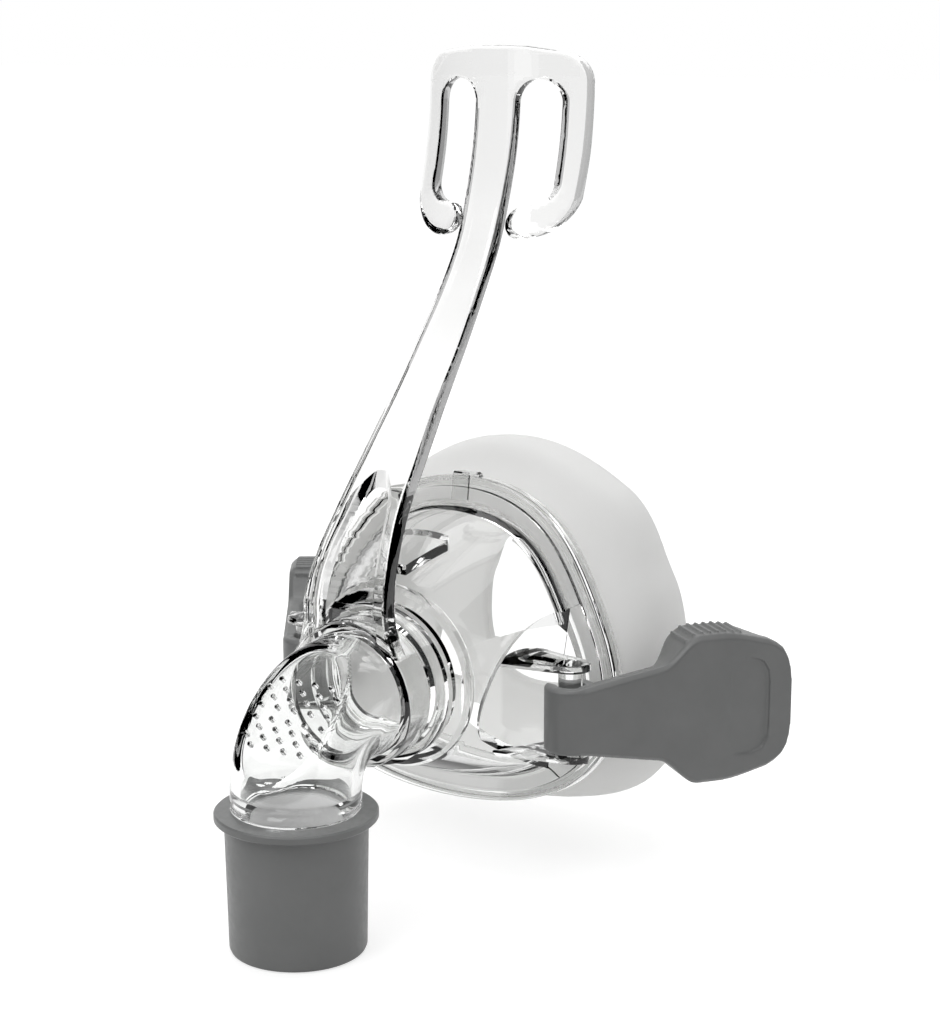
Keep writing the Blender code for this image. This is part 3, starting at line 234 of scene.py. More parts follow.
# Forehead plate at the top of the arm: two hooks, one each side, open next to the stem
PLATE_HALF = 15.9 * MM
PLATE_CORNER = 5.0 * MM
PLATE_BAR = 4.1 * MM  # width of an outer bar
PLATE_CROWN = 5.5 * MM  # from the plate's top down to the strap slots
CROWN_DROP = 0.9 * MM  # how far the top edge falls to its corners
SLOT_LENGTH = 20.6 * MM
HOOK_THICK = 5.5 * MM  # from a slot's end down to the hook's underside
HOOK_TIP = 4.9 * MM  # the hook's tip ends this far from the middle
HOOK_THINNER = 0.6 * MM  # how much thinner than the bar the hook's bend is
SLOT_TOP = PLATE_TOP - PLATE_CROWN
SLOT_BOTTOM = SLOT_TOP - SLOT_LENGTH
HOOK_BOTTOM = SLOT_BOTTOM - HOOK_THICK
PLATE_SWEEP = 0.017 / MM  # how the plate bends back sideways: y = sweep * x * x
SWEEP_FADE = (HOOK_BOTTOM - 10.2 * MM, HOOK_BOTTOM + 1.8 * MM)
SWEEP_COLUMNS = 24

# Bare recess in the front of the lower arm, an arch that is open at the collar
RECESS_APEX = 34.3 * MM
RECESS_HALF = 5.2 * MM
RECESS_DEPTH = 1.8 * MM
RECESS_DRAFT = 1.8 * MM
RECESS_APEX_DRAFT = 4.2 * MM
RECESS_ROUNDNESS = 0.33
RECESS_STEPS = 40

# Brace pad between the collar and the dome's crown
PAD_HALF = 4.3 * MM
PAD_CORNER = 0.5 * MM
PAD_TIP = 0.9 * MM  # half-width at the front
PAD_BACK = 47.0 * MM  # its rear edge, in front of the seal
PAD_FRONT = 54.6 * MM
PAD_HEIGHT = 1.7 * MM

# Headgear clips, measured from the pin along the clip
CLIP_MIDDLE = -3.7 * MM  # height of the clip's middle plane, from the seal
CLIP_BARREL = 4.3 * MM
CLIP_BARREL_EDGE = 0.5 * MM
CLIP_BORE = PIN_RADIUS + GAP
CLIP_MOUTH = 3.3 * MM  # opening that snaps over the pin
CLIP_MOUTH_TURN = radians(62.0)
CLIP_PLATE = 3.0 * MM
CLIP_BLOCK = 8.4 * MM  # thickness of the grip block
CLIP_LENGTH = 38.2 * MM
CLIP_NECK_HALF = 5.6 * MM
CLIP_WAIST_HALF = 8.2 * MM
CLIP_PADDLE_HALF = 12.8 * MM
CLIP_END_HALF = 10.6 * MM
CLIP_NECK_END = 15.0 * MM
CLIP_SHOULDER = 21.5 * MM
CLIP_BLOCK_END = 29.5 * MM
CLIP_BLOCK_RISE = 4.9 * MM  # length of the grip block's front slope
CLIP_BLOCK_FALL = 4.6 * MM  # and of its rear slope
CLIP_EDGE = 0.8 * MM
CLIP_STEPS = 80
# The rounded end: distance from the end, and how much lower the clip is there, in millimetres
CLIP_END_ROWS = ((2.6, 0.25), (1.4, 1.2), (0.6, 2.6), (0.15, 4.4))
THUMB_START = 24.0 * MM  # the scoop in the outer face
THUMB_END = 34.2 * MM
THUMB_HALF = 8.4 * MM
THUMB_DEEP = 0.7 * MM
THUMB_OUTLINE = in_mm([(3.4, 0.0), (1.2, 0.9), (0.2, 2.6), (0.0, 4.6)])  # in from its end and side
CLIP_RIBS = 8
CLIP_RIB_HEIGHT = 0.5 * MM
CLIP_RIB_ROOT = 1.0 * MM  # how deep a rib is sunk in the block
CLIP_RIB_MARGIN = 1.2 * MM  # from a rib's end to the block's side
CLIP_RIB_START = 4.2 * MM  # from the neck's end to the first rib
STRAP_SLOT_HALF = 9.8 * MM
STRAP_SLOT = 2.5 * MM
CLIP_SKIN = 2.5 * MM
CLIP_BAR_START = 25.5 * MM
CLIP_SLOT_START = 20.5 * MM
RIGHT_CLIP_ANGLE = radians(52.0)  # the clip on the wearer's left, from +X towards the face
LEFT_CLIP_ANGLE = radians(56.0)  # the other one is swung further in
SIDES = ((1.0, "right"), (-1.0, "left"))

# Facets and skins
ROUND = 128
RIM_ROUND = 160
BEND_STEPS = 48
POST_ROUND = 64
BARREL_ROUND = 96
JOIN = 0.004 * MM  # points closer than this are one
CREASE = radians(24.0)  # edges sharper than this stay sharp in the shading
CLIP_GRAIN = 0.22 * MM  # voxel size of the clips' moulded skin

# Tones and levels of the looks
CLEAR_TONE = (0.965, 0.97, 0.965, 1.0)
ARM_TONE = (0.915, 0.915, 0.91, 1.0)  # the arm and its plate are a little greyer
ARM_TONE_LOW = -12.0 * MM  # where that tone starts
ARM_TONE_HIGH = 30.0 * MM  # where it is full, and the side faces get painted shade from here up
# painted shade: dark grey for the arm's upper side faces, standing in for the dark bands that light gives
# them
PAINTED_SIDE_SHADE = (0.32, 0.32, 0.32, 1.0)
SIDE_FACING = 0.75  # how much a face looks sideways to get the painted side shade
# painted reflection: below a height the elbow is mixed with white, standing in for the bright reflection that
# hides the cuff's dark bore
PAINTED_REFLECTION_FADE = 0.6 * MM
PAINTED_REFLECTION_SHARE = 0.8
WORLD_LEVEL = 0.75
FLOOR_GLOW = 0.645  # brings the floor to white for the camera and in gloss
WHITE = (1.0, 1.0, 1.0, 1.0)

CROSSING = Vector((0.0, -AXIS_FORWARD, AXIS_RISE))
INLET = Vector((0.0, cos(INLET_TILT), sin(INLET_TILT)))
INLET_UP = Vector((0.0, -sin(INLET_TILT), cos(INLET_TILT)))
CUFF_TOP = AXIS_RISE - CUFF_DROP
SIDE = Vector((1.0, 0.0, 0.0))
UP = Vector((0.0, 0.0, 1.0))


# Materials

def feed(tree, target, values):
    """Sets a node's inputs. A value that is another node's output is linked."""
    for slot, value in values.items():
        if isinstance(value, bpy.types.NodeSocket):
            tree.links.new(value, target.inputs[slot])
        else:
            target.inputs[slot].default_value = value
    return target


def node(tree, kind, values=None, **settings):
    made = tree.nodes.new("ShaderNode" + kind)
    for name, value in settings.items():
        setattr(made, name, value)
    return feed(tree, made, values or {})


def shader_of(name):
    made = bpy.data.materials.new(name)
    made.use_nodes = True
    return made, made.node_tree, made.node_tree.nodes["Principled BSDF"]


def own(tree, output, axis):
    """One axis of the place or the normal, in the piece's own frame."""
    place = node(tree, "TexCoord")
    return node(tree, "SeparateXYZ", {"Vector": place.outputs[output]}).outputs[axis]


def noise(tree, scale, detail=3.0):
    place = node(tree, "TexCoord")
    values = {"Scale": scale, "Detail": detail, "Vector": place.outputs["Object"]}
    return node(tree, "TexNoise", values).outputs["Fac"]


def spread(tree, fac, low, high):
    """Maps a noise value, mostly 0.3 to 0.7, onto low to high."""
    values = {"From Min": 0.3, "From Max": 0.7, "To Min": low, "To Max": high, "Value": fac}
    return node(tree, "MapRange", values).outputs["Result"]


def tint(tree, fac, dark, light):
    ramp = node(tree, "ValToRGB", {"Fac": fac})
    for element, position, colour in zip(ramp.color_ramp.elements, (0.3, 0.7), (dark, light)):
        element.position = position
        element.color = (*colour, 1.0)
    return ramp.outputs["Color"]


def bump(tree, shader, height, distance, strength):
    rough = node(tree, "Bump", {"Strength": strength, "Distance": distance, "Height": height})
    feed(tree, shader, {"Normal": rough.outputs["Normal"]})


def blend(tree, share, first, second):
    """Two shaders in one. A share of 0 is all first."""
    return node(tree, "MixShader", {"Fac": share, 1: first, 2: second}).outputs["Shader"]


def show(tree, surface):
    feed(tree, tree.nodes["Material Output"], {"Surface": surface})


def maths(tree, operation, first, second=0.0):
    return node(tree, "Math", {0: first, 1: second}, operation=operation).outputs[0]


def either_ray(tree, words):
    """1 for the kinds of ray named in words, 0 for all others."""
    paths = node(tree, "LightPath")
    looks = paths.outputs[words[0]]
    for word in words[1:]:
        looks = maths(tree, "MAXIMUM", looks, paths.outputs[word])
    return looks


def arm_tones_and_painted_side_shade(tree):
    """The clear tone, greyer up the arm, and painted shade on the faces that look left or right up there."""
    height = own(tree, "Object", "Z")
    rise = node(tree, "MapRange", {"From Min": ARM_TONE_LOW, "From Max": ARM_TONE_HIGH, "Value": height})
    high = maths(tree, "GREATER_THAN", height, ARM_TONE_HIGH)
    sideways = maths(tree, "ABSOLUTE", own(tree, "Normal", "X"))
    # painted shade on the faces that look sideways, high up the arm
    sides = maths(tree, "MULTIPLY", high, maths(tree, "GREATER_THAN", sideways, SIDE_FACING))
    tone = CLEAR_TONE
    for share, other in ((rise.outputs["Result"], ARM_TONE), (sides, PAINTED_SIDE_SHADE)):
        tone = node(tree, "Mix", {"Factor": share, "A": tone, "B": other}, data_type="RGBA").outputs["Result"]
    return tone


def clear_plastic(name, painted_reflection_below=None, arm=False):
    """Polished clear moulding with slight flow waves. Light on its way to other surfaces passes straight
    through. Below a height in the piece's own frame it is mixed with white, a painted reflection."""
    made, tree, shader = shader_of(name)
    feed(tree, shader, {
        # with arm, the arm's greyer tone and its painted side shade
        "Transmission Weight": 1.0, "IOR": 1.5, "Base Color": arm_tones_and_painted_side_shade(tree) if arm else CLEAR_TONE,
        "Roughness": spread(tree, noise(tree, 60.0), 0.004, 0.014),
    })
    bump(tree, shader, noise(tree, 70.0, 1.0), 0.05 * MM, 0.2)
    passing = node(tree, "BsdfTransparent", {"Color": (0.97, 0.97, 0.97, 1.0)})
    light = either_ray(tree, ("Is Shadow Ray", "Is Diffuse Ray"))
    surface = blend(tree, light, shader.outputs["BSDF"], passing.outputs["BSDF"])
    # painted reflection: white diffuse mixed in below a height, in place of the reflection that lights up the
    # spigot
    if painted_reflection_below is not None:
        fade = node(tree, "MapRange", {
            "From Min": painted_reflection_below - PAINTED_REFLECTION_FADE, "From Max": painted_reflection_below,
            "To Min": PAINTED_REFLECTION_SHARE, "To Max": 0.0, "Value": own(tree, "Object", "Z"),
        })
        painted_reflection = node(tree, "BsdfDiffuse", {"Color": (0.9, 0.9, 0.9, 1.0)})
        surface = blend(tree, fade.outputs["Result"], surface, painted_reflection.outputs["BSDF"])
    show(tree, surface)
    return made


def grey_plastic(name, dark, light):
    """Satin moulded plastic with a fine even grain."""
    made, tree, shader = shader_of(name)
    feed(tree, shader, {
        "IOR": 1.5, "Base Color": tint(tree, noise(tree, 140.0, 4.0), dark, light),
        "Roughness": spread(tree, noise(tree, 900.0), 0.34, 0.46),
    })
    bump(tree, shader, noise(tree, 5200.0, 2.0), 0.012 * MM, 0.5)
    return made


def soft_silicone(name):
    """Frosted silicone that lets light through from behind."""
    made, tree, shader = shader_of(name)
    feed(tree, shader, {
        "IOR": 1.41, "Subsurface Weight": 0.35, "Subsurface Radius": (1.0, 1.0, 1.0),
        "Subsurface Scale": 4.0 * MM,
        "Base Color": tint(tree, noise(tree, 45.0), (0.90, 0.90, 0.895), (0.935, 0.935, 0.93)),
        "Roughness": spread(tree, noise(tree, 500.0), 0.46, 0.58),
    })
    bump(tree, shader, noise(tree, 3000.0, 2.0), 0.01 * MM, 0.4)
    glow = node(tree, "BsdfTranslucent", {"Color": (0.96, 0.96, 0.955, 1.0)})
    show(tree, blend(tree, 0.55, shader.outputs["BSDF"], glow.outputs["BSDF"]))
    return made


CLEAR = clear_plastic("clear_plastic")
CLEAR_FRAME = clear_plastic("clear_plastic_frame", arm=True)
# the elbow's spigot, below the cuff's top, gets the painted reflection
CLEAR_ELBOW = clear_plastic("clear_plastic_elbow", painted_reflection_below=-CUFF_DROP)
GREY = grey_plastic("grey_plastic", (0.136, 0.139, 0.138), (0.152, 0.155, 0.154))
SILICONE = soft_silicone("silicone")


# Meshes

def collection(name):
    made = bpy.data.collections.new(name)
    bpy.context.scene.collection.children.link(made)
    return made


PIECES = collection("pieces")
CUTTERS = collection("cutters")


def placed(name, data, home):
    made = bpy.data.objects.new(name, data)
    home.objects.link(made)
    return made


def object_of(name, bm):
    """A new piece from a bmesh that isn't needed any more, with its faces turned outwards."""
    bm.normal_update()
    bmesh.ops.recalc_face_normals(bm, faces=bm.faces)
    mesh = bpy.data.meshes.new(name)
    bm.to_mesh(mesh)
    bm.free()
    return placed(name, mesh, PIECES)


def loft(name, rings, closed=False):
    """A skin over rings of points, each ring closed on itself. A closed loft joins its last ring to its
    first, and an open one gets a flat cap at both ends."""
    bm = bmesh.new()
    rows = [[bm.verts.new(point) for point in ring] for ring in rings]
    count = len(rows[0])
    pairs = list(zip(rows, rows[1:]))
    if closed:
        pairs.append((rows[-1], rows[0]))
    for near, far in pairs:
        for i in range(count):
            j = (i + 1) % count
            bm.faces.new((near[i], near[j], far[j], far[i]))
    if not closed:
        bm.faces.new(list(reversed(rows[0])))
        bm.faces.new(rows[-1])
    return object_of(name, bm)


def combine(target, other, operation):
    """A Boolean on the target, kept as a modifier, with the other piece moved to the cutters."""
    step = target.modifiers.new(operation.title() + " " + other.name, "BOOLEAN")
    step.operation = operation
    step.solver = "EXACT"
    step.object = other
    PIECES.objects.unlink(other)
    CUTTERS.objects.link(other)


def evaluated_mesh(target):
    graph = bpy.context.evaluated_depsgraph_get()
    graph.update()
    return bpy.data.meshes.new_from_object(target.evaluated_get(graph))


def bake(target):
    """Applies the target's modifiers, so that its mesh can be worked on further."""
    mesh = evaluated_mesh(target)
    target.modifiers.clear()
    target.data = mesh
    return target


def joined(mesh, distance):
    """A bmesh of the mesh, with points that are closer than a distance made one."""
    bm = bmesh.new()
    bm.from_mesh(mesh)
    bmesh.ops.remove_doubles(bm, verts=bm.verts, dist=distance)
    bmesh.ops.recalc_face_normals(bm, faces=bm.faces)
    return bm


def dress(target, look):
    target.data.materials.clear()
    target.data.materials.append(look)
    return target


def finish(target, look):
    """Bakes a piece, joins what a Boolean left split, and smooths its shading between sharp edges."""
    bake(target)
    bm = joined(target.data, JOIN)
    bm.to_mesh(target.data)
    bm.free()
    target.data.shade_smooth()
    target.data.set_sharp_from_angle(angle=CREASE)
    even = target.modifiers.new("Even", "WEIGHTED_NORMAL")
    even.keep_sharp = True
    even.weight = 60
    return dress(bake(target), look)


def mould(target, look, grain, rounds):
    """Turns a piece into one even skin with softly rounded edges, as a moulding has."""
    bake(target)
    skin = target.modifiers.new("Skin", "REMESH")
    skin.mode = "VOXEL"
    skin.voxel_size = grain
    soften = target.modifiers.new("Soften", "SMOOTH")
    soften.factor = 0.5
    soften.iterations = rounds
    bake(target)
    target.data.shade_smooth()
    return dress(target, look)


# Curves and rings

def mix(a, b, share):
    return a + (b - a) * share


def share_of(value, low, high):
    """0 below low, 1 above high, and a straight rise between them."""
    return min(1.0, max(0.0, (value - low) / (high - low)))


def between(value, low, high):
    """0 below low, 1 above high, and a smooth rise between them."""
    share = share_of(value, low, high)
    return share * share * (3.0 - 2.0 * share)


def smooth_row(rows, k, share):
    """The row at a share of the way from row k to the next, on a smooth curve through all of them."""
    four = (rows[max(0, k - 1)], rows[k], rows[k + 1], rows[min(len(rows) - 1, k + 2)])
    return [0.5 * (2 * b + (c - a) * share + (2 * a - 5 * b + 4 * c - d) * share ** 2
                   + (3 * b - 3 * c + d - a) * share ** 3) for a, b, c, d in zip(*four)]


def ring_round(centre, up, radius_at, count):
    """Points round a centre, clockwise from up, seen from the front. The radius follows the angle."""
    ring = []
    for i in range(count):
        angle = 2 * pi * i / count
        radius = radius_at(angle)
        ring.append(centre + SIDE * radius * sin(angle) + up * radius * cos(angle))
    return ring


def circle_ring(centre, up, radius, count=ROUND):
    return ring_round(centre, up, lambda angle: radius, count)


def level_ring(x, y, z, radius, count):
    """A level circle round a standing axis."""
    turns = [2 * pi * i / count for i in range(count)]
    return [Vector((x + radius * sin(turn), y + radius * cos(turn), z)) for turn in turns]


def inlet_ring(along, radius, count=ROUND):
    return circle_ring(CROSSING + INLET * along, INLET_UP, radius, count)


# The frame's dome: sections that turn from the collar's circle to the rim's rounded triangle

RIM_UP = Vector((0.0, sin(RIM_LEAN), cos(RIM_LEAN)))
RIM_BACK = Vector((0.0, cos(RIM_LEAN), -sin(RIM_LEAN)))
RIM_CENTRE = Vector((0.0, -RIM_FORWARD, RIM_RISE))


def rim_radius(angle):
    return (RIM_RADIUS - RIM_WIDER * cos(2 * angle) + RIM_TRIANGLE * cos(3 * angle)
            - RIM_SQUARE * cos(4 * angle) - RIM_CORNERS * cos(5 * angle))


def rim_ring(back, inset):
    """The rim's outline, moved back from its front face and drawn in by inset."""
    centre = RIM_CENTRE + RIM_BACK * back
    return ring_round(centre, RIM_UP, lambda angle: rim_radius(angle) - inset, RIM_ROUND)


def dome_ring(share, inset):
    """A section of the dome between the collar's bead, share 0, and the rim's face, share 1."""
    centre = (CROSSING + INLET * BEAD_END).lerp(RIM_CENTRE, share)
    lean = mix(-INLET_TILT, RIM_LEAN, share)
    rise = 1.0 - max(0.0, 1.0 - share) ** DOME_ROUNDNESS
    return ring_round(centre, Vector((0.0, sin(lean), cos(lean))),
                      lambda angle: mix(DOME_START, rim_radius(angle) - RIM_FLANGE, rise) - inset, RIM_ROUND)


def dome_outside():
    collar = [
        (COLLAR_START, COLLAR_RADIUS - 0.7 * MM), (COLLAR_START + 0.4 * MM, COLLAR_RADIUS - 0.15 * MM),
        (COLLAR_START + 0.8 * MM, COLLAR_RADIUS), (COLLAR_BAND_START, COLLAR_RADIUS),
        (COLLAR_BAND_START + 0.5 * MM, COLLAR_BAND_RADIUS), (BEAD_START, COLLAR_BAND_RADIUS),
        (mix(BEAD_START, BEAD_END, 0.25), BEAD_RADIUS - 0.6 * MM),
        (mix(BEAD_START, BEAD_END, 0.5), BEAD_RADIUS), (mix(BEAD_START, BEAD_END, 0.8), BEAD_RADIUS),
        (BEAD_END, BEAD_RADIUS - 0.4 * MM),
    ]
    rim = [
        (0.0, RIM_FLANGE - 0.5 * MM), (0.0, RIM_STEP + 0.15 * MM), (0.1 * MM, RIM_STEP),
        (RIM_STEP_DEEP, RIM_STEP - 0.1 * MM), (RIM_STEP_DEEP, 0.3 * MM), (RIM_STEP_DEEP + 0.1 * MM, 0.1 * MM),
        (RIM_STEP_DEEP + 0.3 * MM, 0.0), (RIM_THICK, 0.0), (RIM_THICK, SKIRT_INSET),
        (RIM_THICK + SKIRT_DEPTH, SKIRT_INSET + 0.1 * MM),
    ]
    rings = [inlet_ring(along, radius, RIM_ROUND) for along, radius in collar]
    rings += [dome_ring(i / DOME_STEPS, 0.0) for i in range(1, DOME_STEPS)]
    rings += [rim_ring(back, inset) for back, inset in rim]
    return loft("mask_frame", rings)


def dome_inside():
    """The room inside the dome, skirt and collar, as a cutter."""
    undercut = COLLAR_BORE + SNAP_HEIGHT + COLLAR_UNDERCUT
    collar = [
        (COLLAR_START - PAST, COLLAR_BORE), (COLLAR_LIP_END, COLLAR_BORE),
        (COLLAR_LIP_END + 0.3 * MM, undercut), (COLLAR_LIP_END + 3.2 * MM, undercut + 0.4 * MM),
    ]
    rings = [inlet_ring(along, radius, RIM_ROUND) for along, radius in collar]
    rings += [dome_ring(0.1 + 0.86 * i / 20, WALL) for i in range(21)]
    inner = SKIRT_INSET + SKIRT_WALL
    rings += [rim_ring(RIM_THICK, inner), rim_ring(RIM_THICK + SKIRT_DEPTH + PAST, inner)]
    return loft("dome_inside", rings)


POCKET_FRONT = CROSSING.y + BEAD_END + POCKET_CLEAR
POCKET_SLOPE = (POCKET_HALF_BACK - POCKET_HALF_FRONT) / (RIM_CENTRE.y - POCKET_FRONT)


def pocket_floor(y):
    """Half-width between the pocket floors."""
    return POCKET_HALF_FRONT + POCKET_SLOPE * (y - POCKET_FRONT)


def pocket_end(height):
    """Where a pocket ends, just behind the rim's leaning face."""
    return RIM_CENTRE.y + (height - RIM_RISE) * sin(RIM_LEAN) / cos(RIM_LEAN) + POCKET_STEP


def pocket_block(name, side, sink):
    """A slab whose inner face is a pocket's floor, moved inwards by sink. It keeps the pocket's wall."""
    reach = 2.0 * RIM_RADIUS
    height = 2.3 * RIM_RADIUS
    bm = bmesh.new()
    bmesh.ops.create_cube(bm, size=1.0)
    for vert in bm.verts:
        z = vert.co.z * height
        y = pocket_end(z) + 0.8 * sink if vert.co.y > 0.0 else POCKET_FRONT
        x = pocket_floor(y) - sink if vert.co.x < 0.0 else reach
        vert.co = Vector((side * x, y, z))
    return object_of(name, bm)


def pocket_cut(name, side):
    """The pocket's room, seen from the side: a D that is round towards the collar and ends at the rim."""
    levels = ((-POCKET_SUNK, 0.0), (0.5 * MM, 0.5 * MM), (2.5 * MM, POCKET_DRAFT), (20.0 * MM, POCKET_DRAFT))
    rings = []
    for out, wider in levels:
        ring = []
        for i in range(POCKET_ROUND + 1):
            turn = pi * (i / POCKET_ROUND - 0.5)
            z = POCKET_MIDDLE + ((POCKET_ABOVE if turn > 0.0 else POCKET_BELOW) + wider) * sin(turn)
            y = pocket_end(z) - (POCKET_LENGTH + wider) * cos(turn)
            ring.append(Vector((side * (pocket_floor(y) + out), y, z)))
        rings.append(ring)
    return loft(name, rings)


# Pins and lugs

PIN_Y = -RIM_FORWARD - PIN_BEFORE_RIM
LUG_TOP_FACE = CLIP_MIDDLE + CLIP_NECK_HALF + PIN_SHOULDER
LUG_BASE_FACE = CLIP_MIDDLE - CLIP_NECK_HALF - CLIP_GAP


def lug(name, side, face, away):
    """A lug from the pocket's floor out round the pin. Its flat face is at height face, and the other one,
    on the side away, is arched at the root and thins out to the pin."""
    root_x = POCKET_HALF_FRONT + 0.8 * WALL
    rings = []
    for i in range(2 * LUG_STEPS + 1):
        share = min(1.0, i / LUG_STEPS)
        x = mix(root_x, PIN_HALF, share)
        half = mix(LUG_ROOT, LUG_RADIUS, share)
        if i > LUG_STEPS:
            turn = (i / LUG_STEPS - 1.0) * radians(85.0)
            x = PIN_HALF + LUG_RADIUS * sin(turn)
            half = LUG_RADIUS * cos(turn)
        arch = mix(LUG_ARCH, LUG_THICK, share ** 0.7)
        ring = [Vector((side * x, PIN_Y + half, face)), Vector((side * x, PIN_Y - half, face))]
        for k in range(LUG_ARCH_STEPS + 1):
            across = 2.0 * k / LUG_ARCH_STEPS - 1.0
            height = LUG_EDGE + (arch - LUG_EDGE) * (1.0 - across * across) ** mix(1.0, 0.25, share)
            ring.append(Vector((side * x, PIN_Y + half * across, face + away * height)))
        rings.append(ring)
    return loft(name, rings)


def post(name, x, y, low, high, radius, count=POST_ROUND):
    return loft(name, [level_ring(x, y, z, radius, count) for z in (low, high)])


# The arm: a flat outline with rounded edges, bent to its side-view curve

def station(height):
    """Distance in front of the seal, half-width and thickness of the arm at a height."""
    rows = ARM_STATIONS
    height = min(PLATE_TOP, max(ARM_LOW, height))
    for k in range(len(rows) - 1):
        if rows[k][0] >= height >= rows[k + 1][0]:
            break
    share = (rows[k][0] - height) / (rows[k][0] - rows[k + 1][0])
    return smooth_row([row[1:] for row in rows], k, share)


def arc_points(cx, cz, radius, start, end, steps):
    """Points of an arc in the plate's outline. Angles are in degrees from +X towards +Z."""
    points = []
    for i in range(steps + 1):
        angle = radians(mix(start, end, i / steps))
        points.append((cx + radius * cos(angle), cz + radius * sin(angle)))
    return points


def half_outline():
    """The right half of the arm's outline, from the crown down to the leg."""
    slot_out = PLATE_HALF - PLATE_BAR
    slot_radius = (slot_out - STEM_HALF) / 2
    tip_radius = (SLOT_BOTTOM - HOOK_BOTTOM) / 2
    bend = PLATE_HALF - HOOK_TIP - tip_radius
    inner_bend = bend - PLATE_BAR - HOOK_THINNER
    points = [(0.0, PLATE_TOP), (PLATE_HALF * 0.35, PLATE_TOP - CROWN_DROP * 0.15)]
    points += arc_points(PLATE_HALF - PLATE_CORNER, PLATE_TOP - CROWN_DROP - PLATE_CORNER,
                         PLATE_CORNER, 80.0, 0.0, 24)
    points.append((PLATE_HALF, mix(PLATE_TOP, HOOK_BOTTOM, 0.55)))
    points += arc_points(PLATE_HALF - bend, HOOK_BOTTOM + bend, bend, -12.0, -90.0, 28)
    points += arc_points(HOOK_TIP + tip_radius, HOOK_BOTTOM + tip_radius, tip_radius, -100.0, -260.0, 32)
    points += arc_points(slot_out - inner_bend, SLOT_BOTTOM + inner_bend, inner_bend, -80.0, 0.0, 20)
    points.append((slot_out, mix(SLOT_TOP, SLOT_BOTTOM, 0.45)))
    points += arc_points(slot_out - slot_radius, SLOT_TOP - slot_radius, slot_radius, 0.0, 180.0, 40)
    height = SLOT_TOP - slot_radius - 4.0 * MM
    count = ceil((height - ARM_LOW) / (1.6 * ARM_STEP))
    for i in range(count + 1):
        z = mix(height, ARM_LOW, i / count)
        points.append((station(z)[1], z))
    return points


def mirrored(half):
    """A half outline with its mirror image, without the shared first point twice."""
    return half + [(-x, z) for x, z in reversed(half[1:])]


def flat_plate():
    """The outline as a filled 2D curve with a rounded edge, of one thickness."""
    curve = bpy.data.curves.new("arm_outline", "CURVE")
    curve.dimensions = "2D"
    curve.fill_mode = "BOTH"
    curve.extrude = FLAT_HALF - ARM_EDGE
    curve.bevel_depth = ARM_EDGE
    curve.bevel_resolution = 2
    curve.offset = -ARM_EDGE
    points = mirrored(half_outline())
    spline = curve.splines.new("POLY")
    spline.points.add(len(points) - 1)
    for point, (x, z) in zip(spline.points, points):
        point.co = (x, z, 0.0, 1.0)
    spline.use_cyclic_u = True
    flat = placed("arm_outline", curve, PIECES)
    mesh = evaluated_mesh(flat)
    bpy.data.objects.remove(flat, do_unlink=True)
    return object_of("forehead_arm", joined(mesh, 0.01 * MM))


def recess_cutter():
    """The recess in the flat plate's front: an arch with drafted walls, in the plate's flat space."""
    low = ARM_LOW - 1.0 * MM
    deepest = 2.0 * FLAT_HALF * RECESS_DEPTH / ARM_LOW_THICK - FLAT_HALF
    rings = []
    for level, apex, grow in ((deepest, 0.0, 0.0), (-1.5 * FLAT_HALF, RECESS_APEX_DRAFT, RECESS_DRAFT)):
        right = []
        for i in range(RECESS_STEPS + 1):
            share = (i / RECESS_STEPS) ** 2
            z = mix(RECESS_APEX + apex, low, share)
            below = min(1.0, max(0.0, (RECESS_APEX - (z - apex)) / (RECESS_APEX - ARM_LOW)))
            half = RECESS_HALF * below ** RECESS_ROUNDNESS + grow * between(share, 0.0, 0.15)
            right.append((half if i else 0.0, z))
        rings.append([Vector((x, z, level)) for x, z in mirrored(right)])
    return loft("arm_recess", rings)


def bend_plate(plate):
    """Cuts the flat plate into short facets and bends it: flat X, Y and Z become X, height and depth."""
    bm = bmesh.new()
    bm.from_mesh(plate.data)
    rows = ceil((PLATE_TOP - ARM_LOW) / ARM_STEP)
    for i in range(1, rows):
        cut_at = Vector((0.0, mix(ARM_LOW, PLATE_TOP, i / rows), 0.0))
        geometry = bm.verts[:] + bm.edges[:] + bm.faces[:]
        bmesh.ops.bisect_plane(bm, geom=geometry, plane_co=cut_at, plane_no=(0.0, 1.0, 0.0), dist=0.02 * MM)
    for i in range(1, SWEEP_COLUMNS):
        cut_at = Vector((mix(-PLATE_HALF, PLATE_HALF, i / SWEEP_COLUMNS), 0.0, 0.0))
        upper = [f for f in bm.faces if f.calc_center_median().y > SWEEP_FADE[0]]
        geometry = list({v for f in upper for v in f.verts}) + list({e for f in upper for e in f.edges})
        bmesh.ops.bisect_plane(bm, geom=geometry + upper, plane_co=cut_at, plane_no=(1.0, 0.0, 0.0),
                               dist=0.02 * MM)
    bmesh.ops.triangulate(bm, faces=[f for f in bm.faces if len(f.verts) > 4])
    for vert in bm.verts:
        x, height, level = vert.co
        forward, _, thick = station(height)
        sweep = PLATE_SWEEP * x * x * between(height, *SWEEP_FADE)
        depth = (level + FLAT_HALF) / (2.0 * FLAT_HALF) * thick
        vert.co = Vector((x, -forward + depth + sweep, height))
    bm.normal_update()
    bmesh.ops.recalc_face_normals(bm, faces=bm.faces)
    bm.to_mesh(plate.data)
    bm.free()


def brace_pad():
    """A low wedge on the dome's crown behind the arm, broad towards the rim."""
    pad = loft("brace_pad", [dome_ring(-0.1 + 0.08 * i, -PAD_HEIGHT) for i in range(10)])
    corner = (PAD_HALF + PAD_CORNER, -PAD_BACK - 2 * PAD_CORNER)
    right = [(PAD_HALF, -PAD_BACK), corner, (PAD_TIP, -PAD_FRONT)]
    outline = [(-PAD_HALF, -PAD_BACK)] + right + [(-PAD_TIP, -PAD_FRONT), (-corner[0], corner[1])]
    levels = [[Vector((x, y, z)) for x, y in outline] for z in (RIM_RISE, PLATE_TOP)]
    window = loft("pad_window", levels)
    combine(pad, window, "INTERSECT")
    return bake(pad)


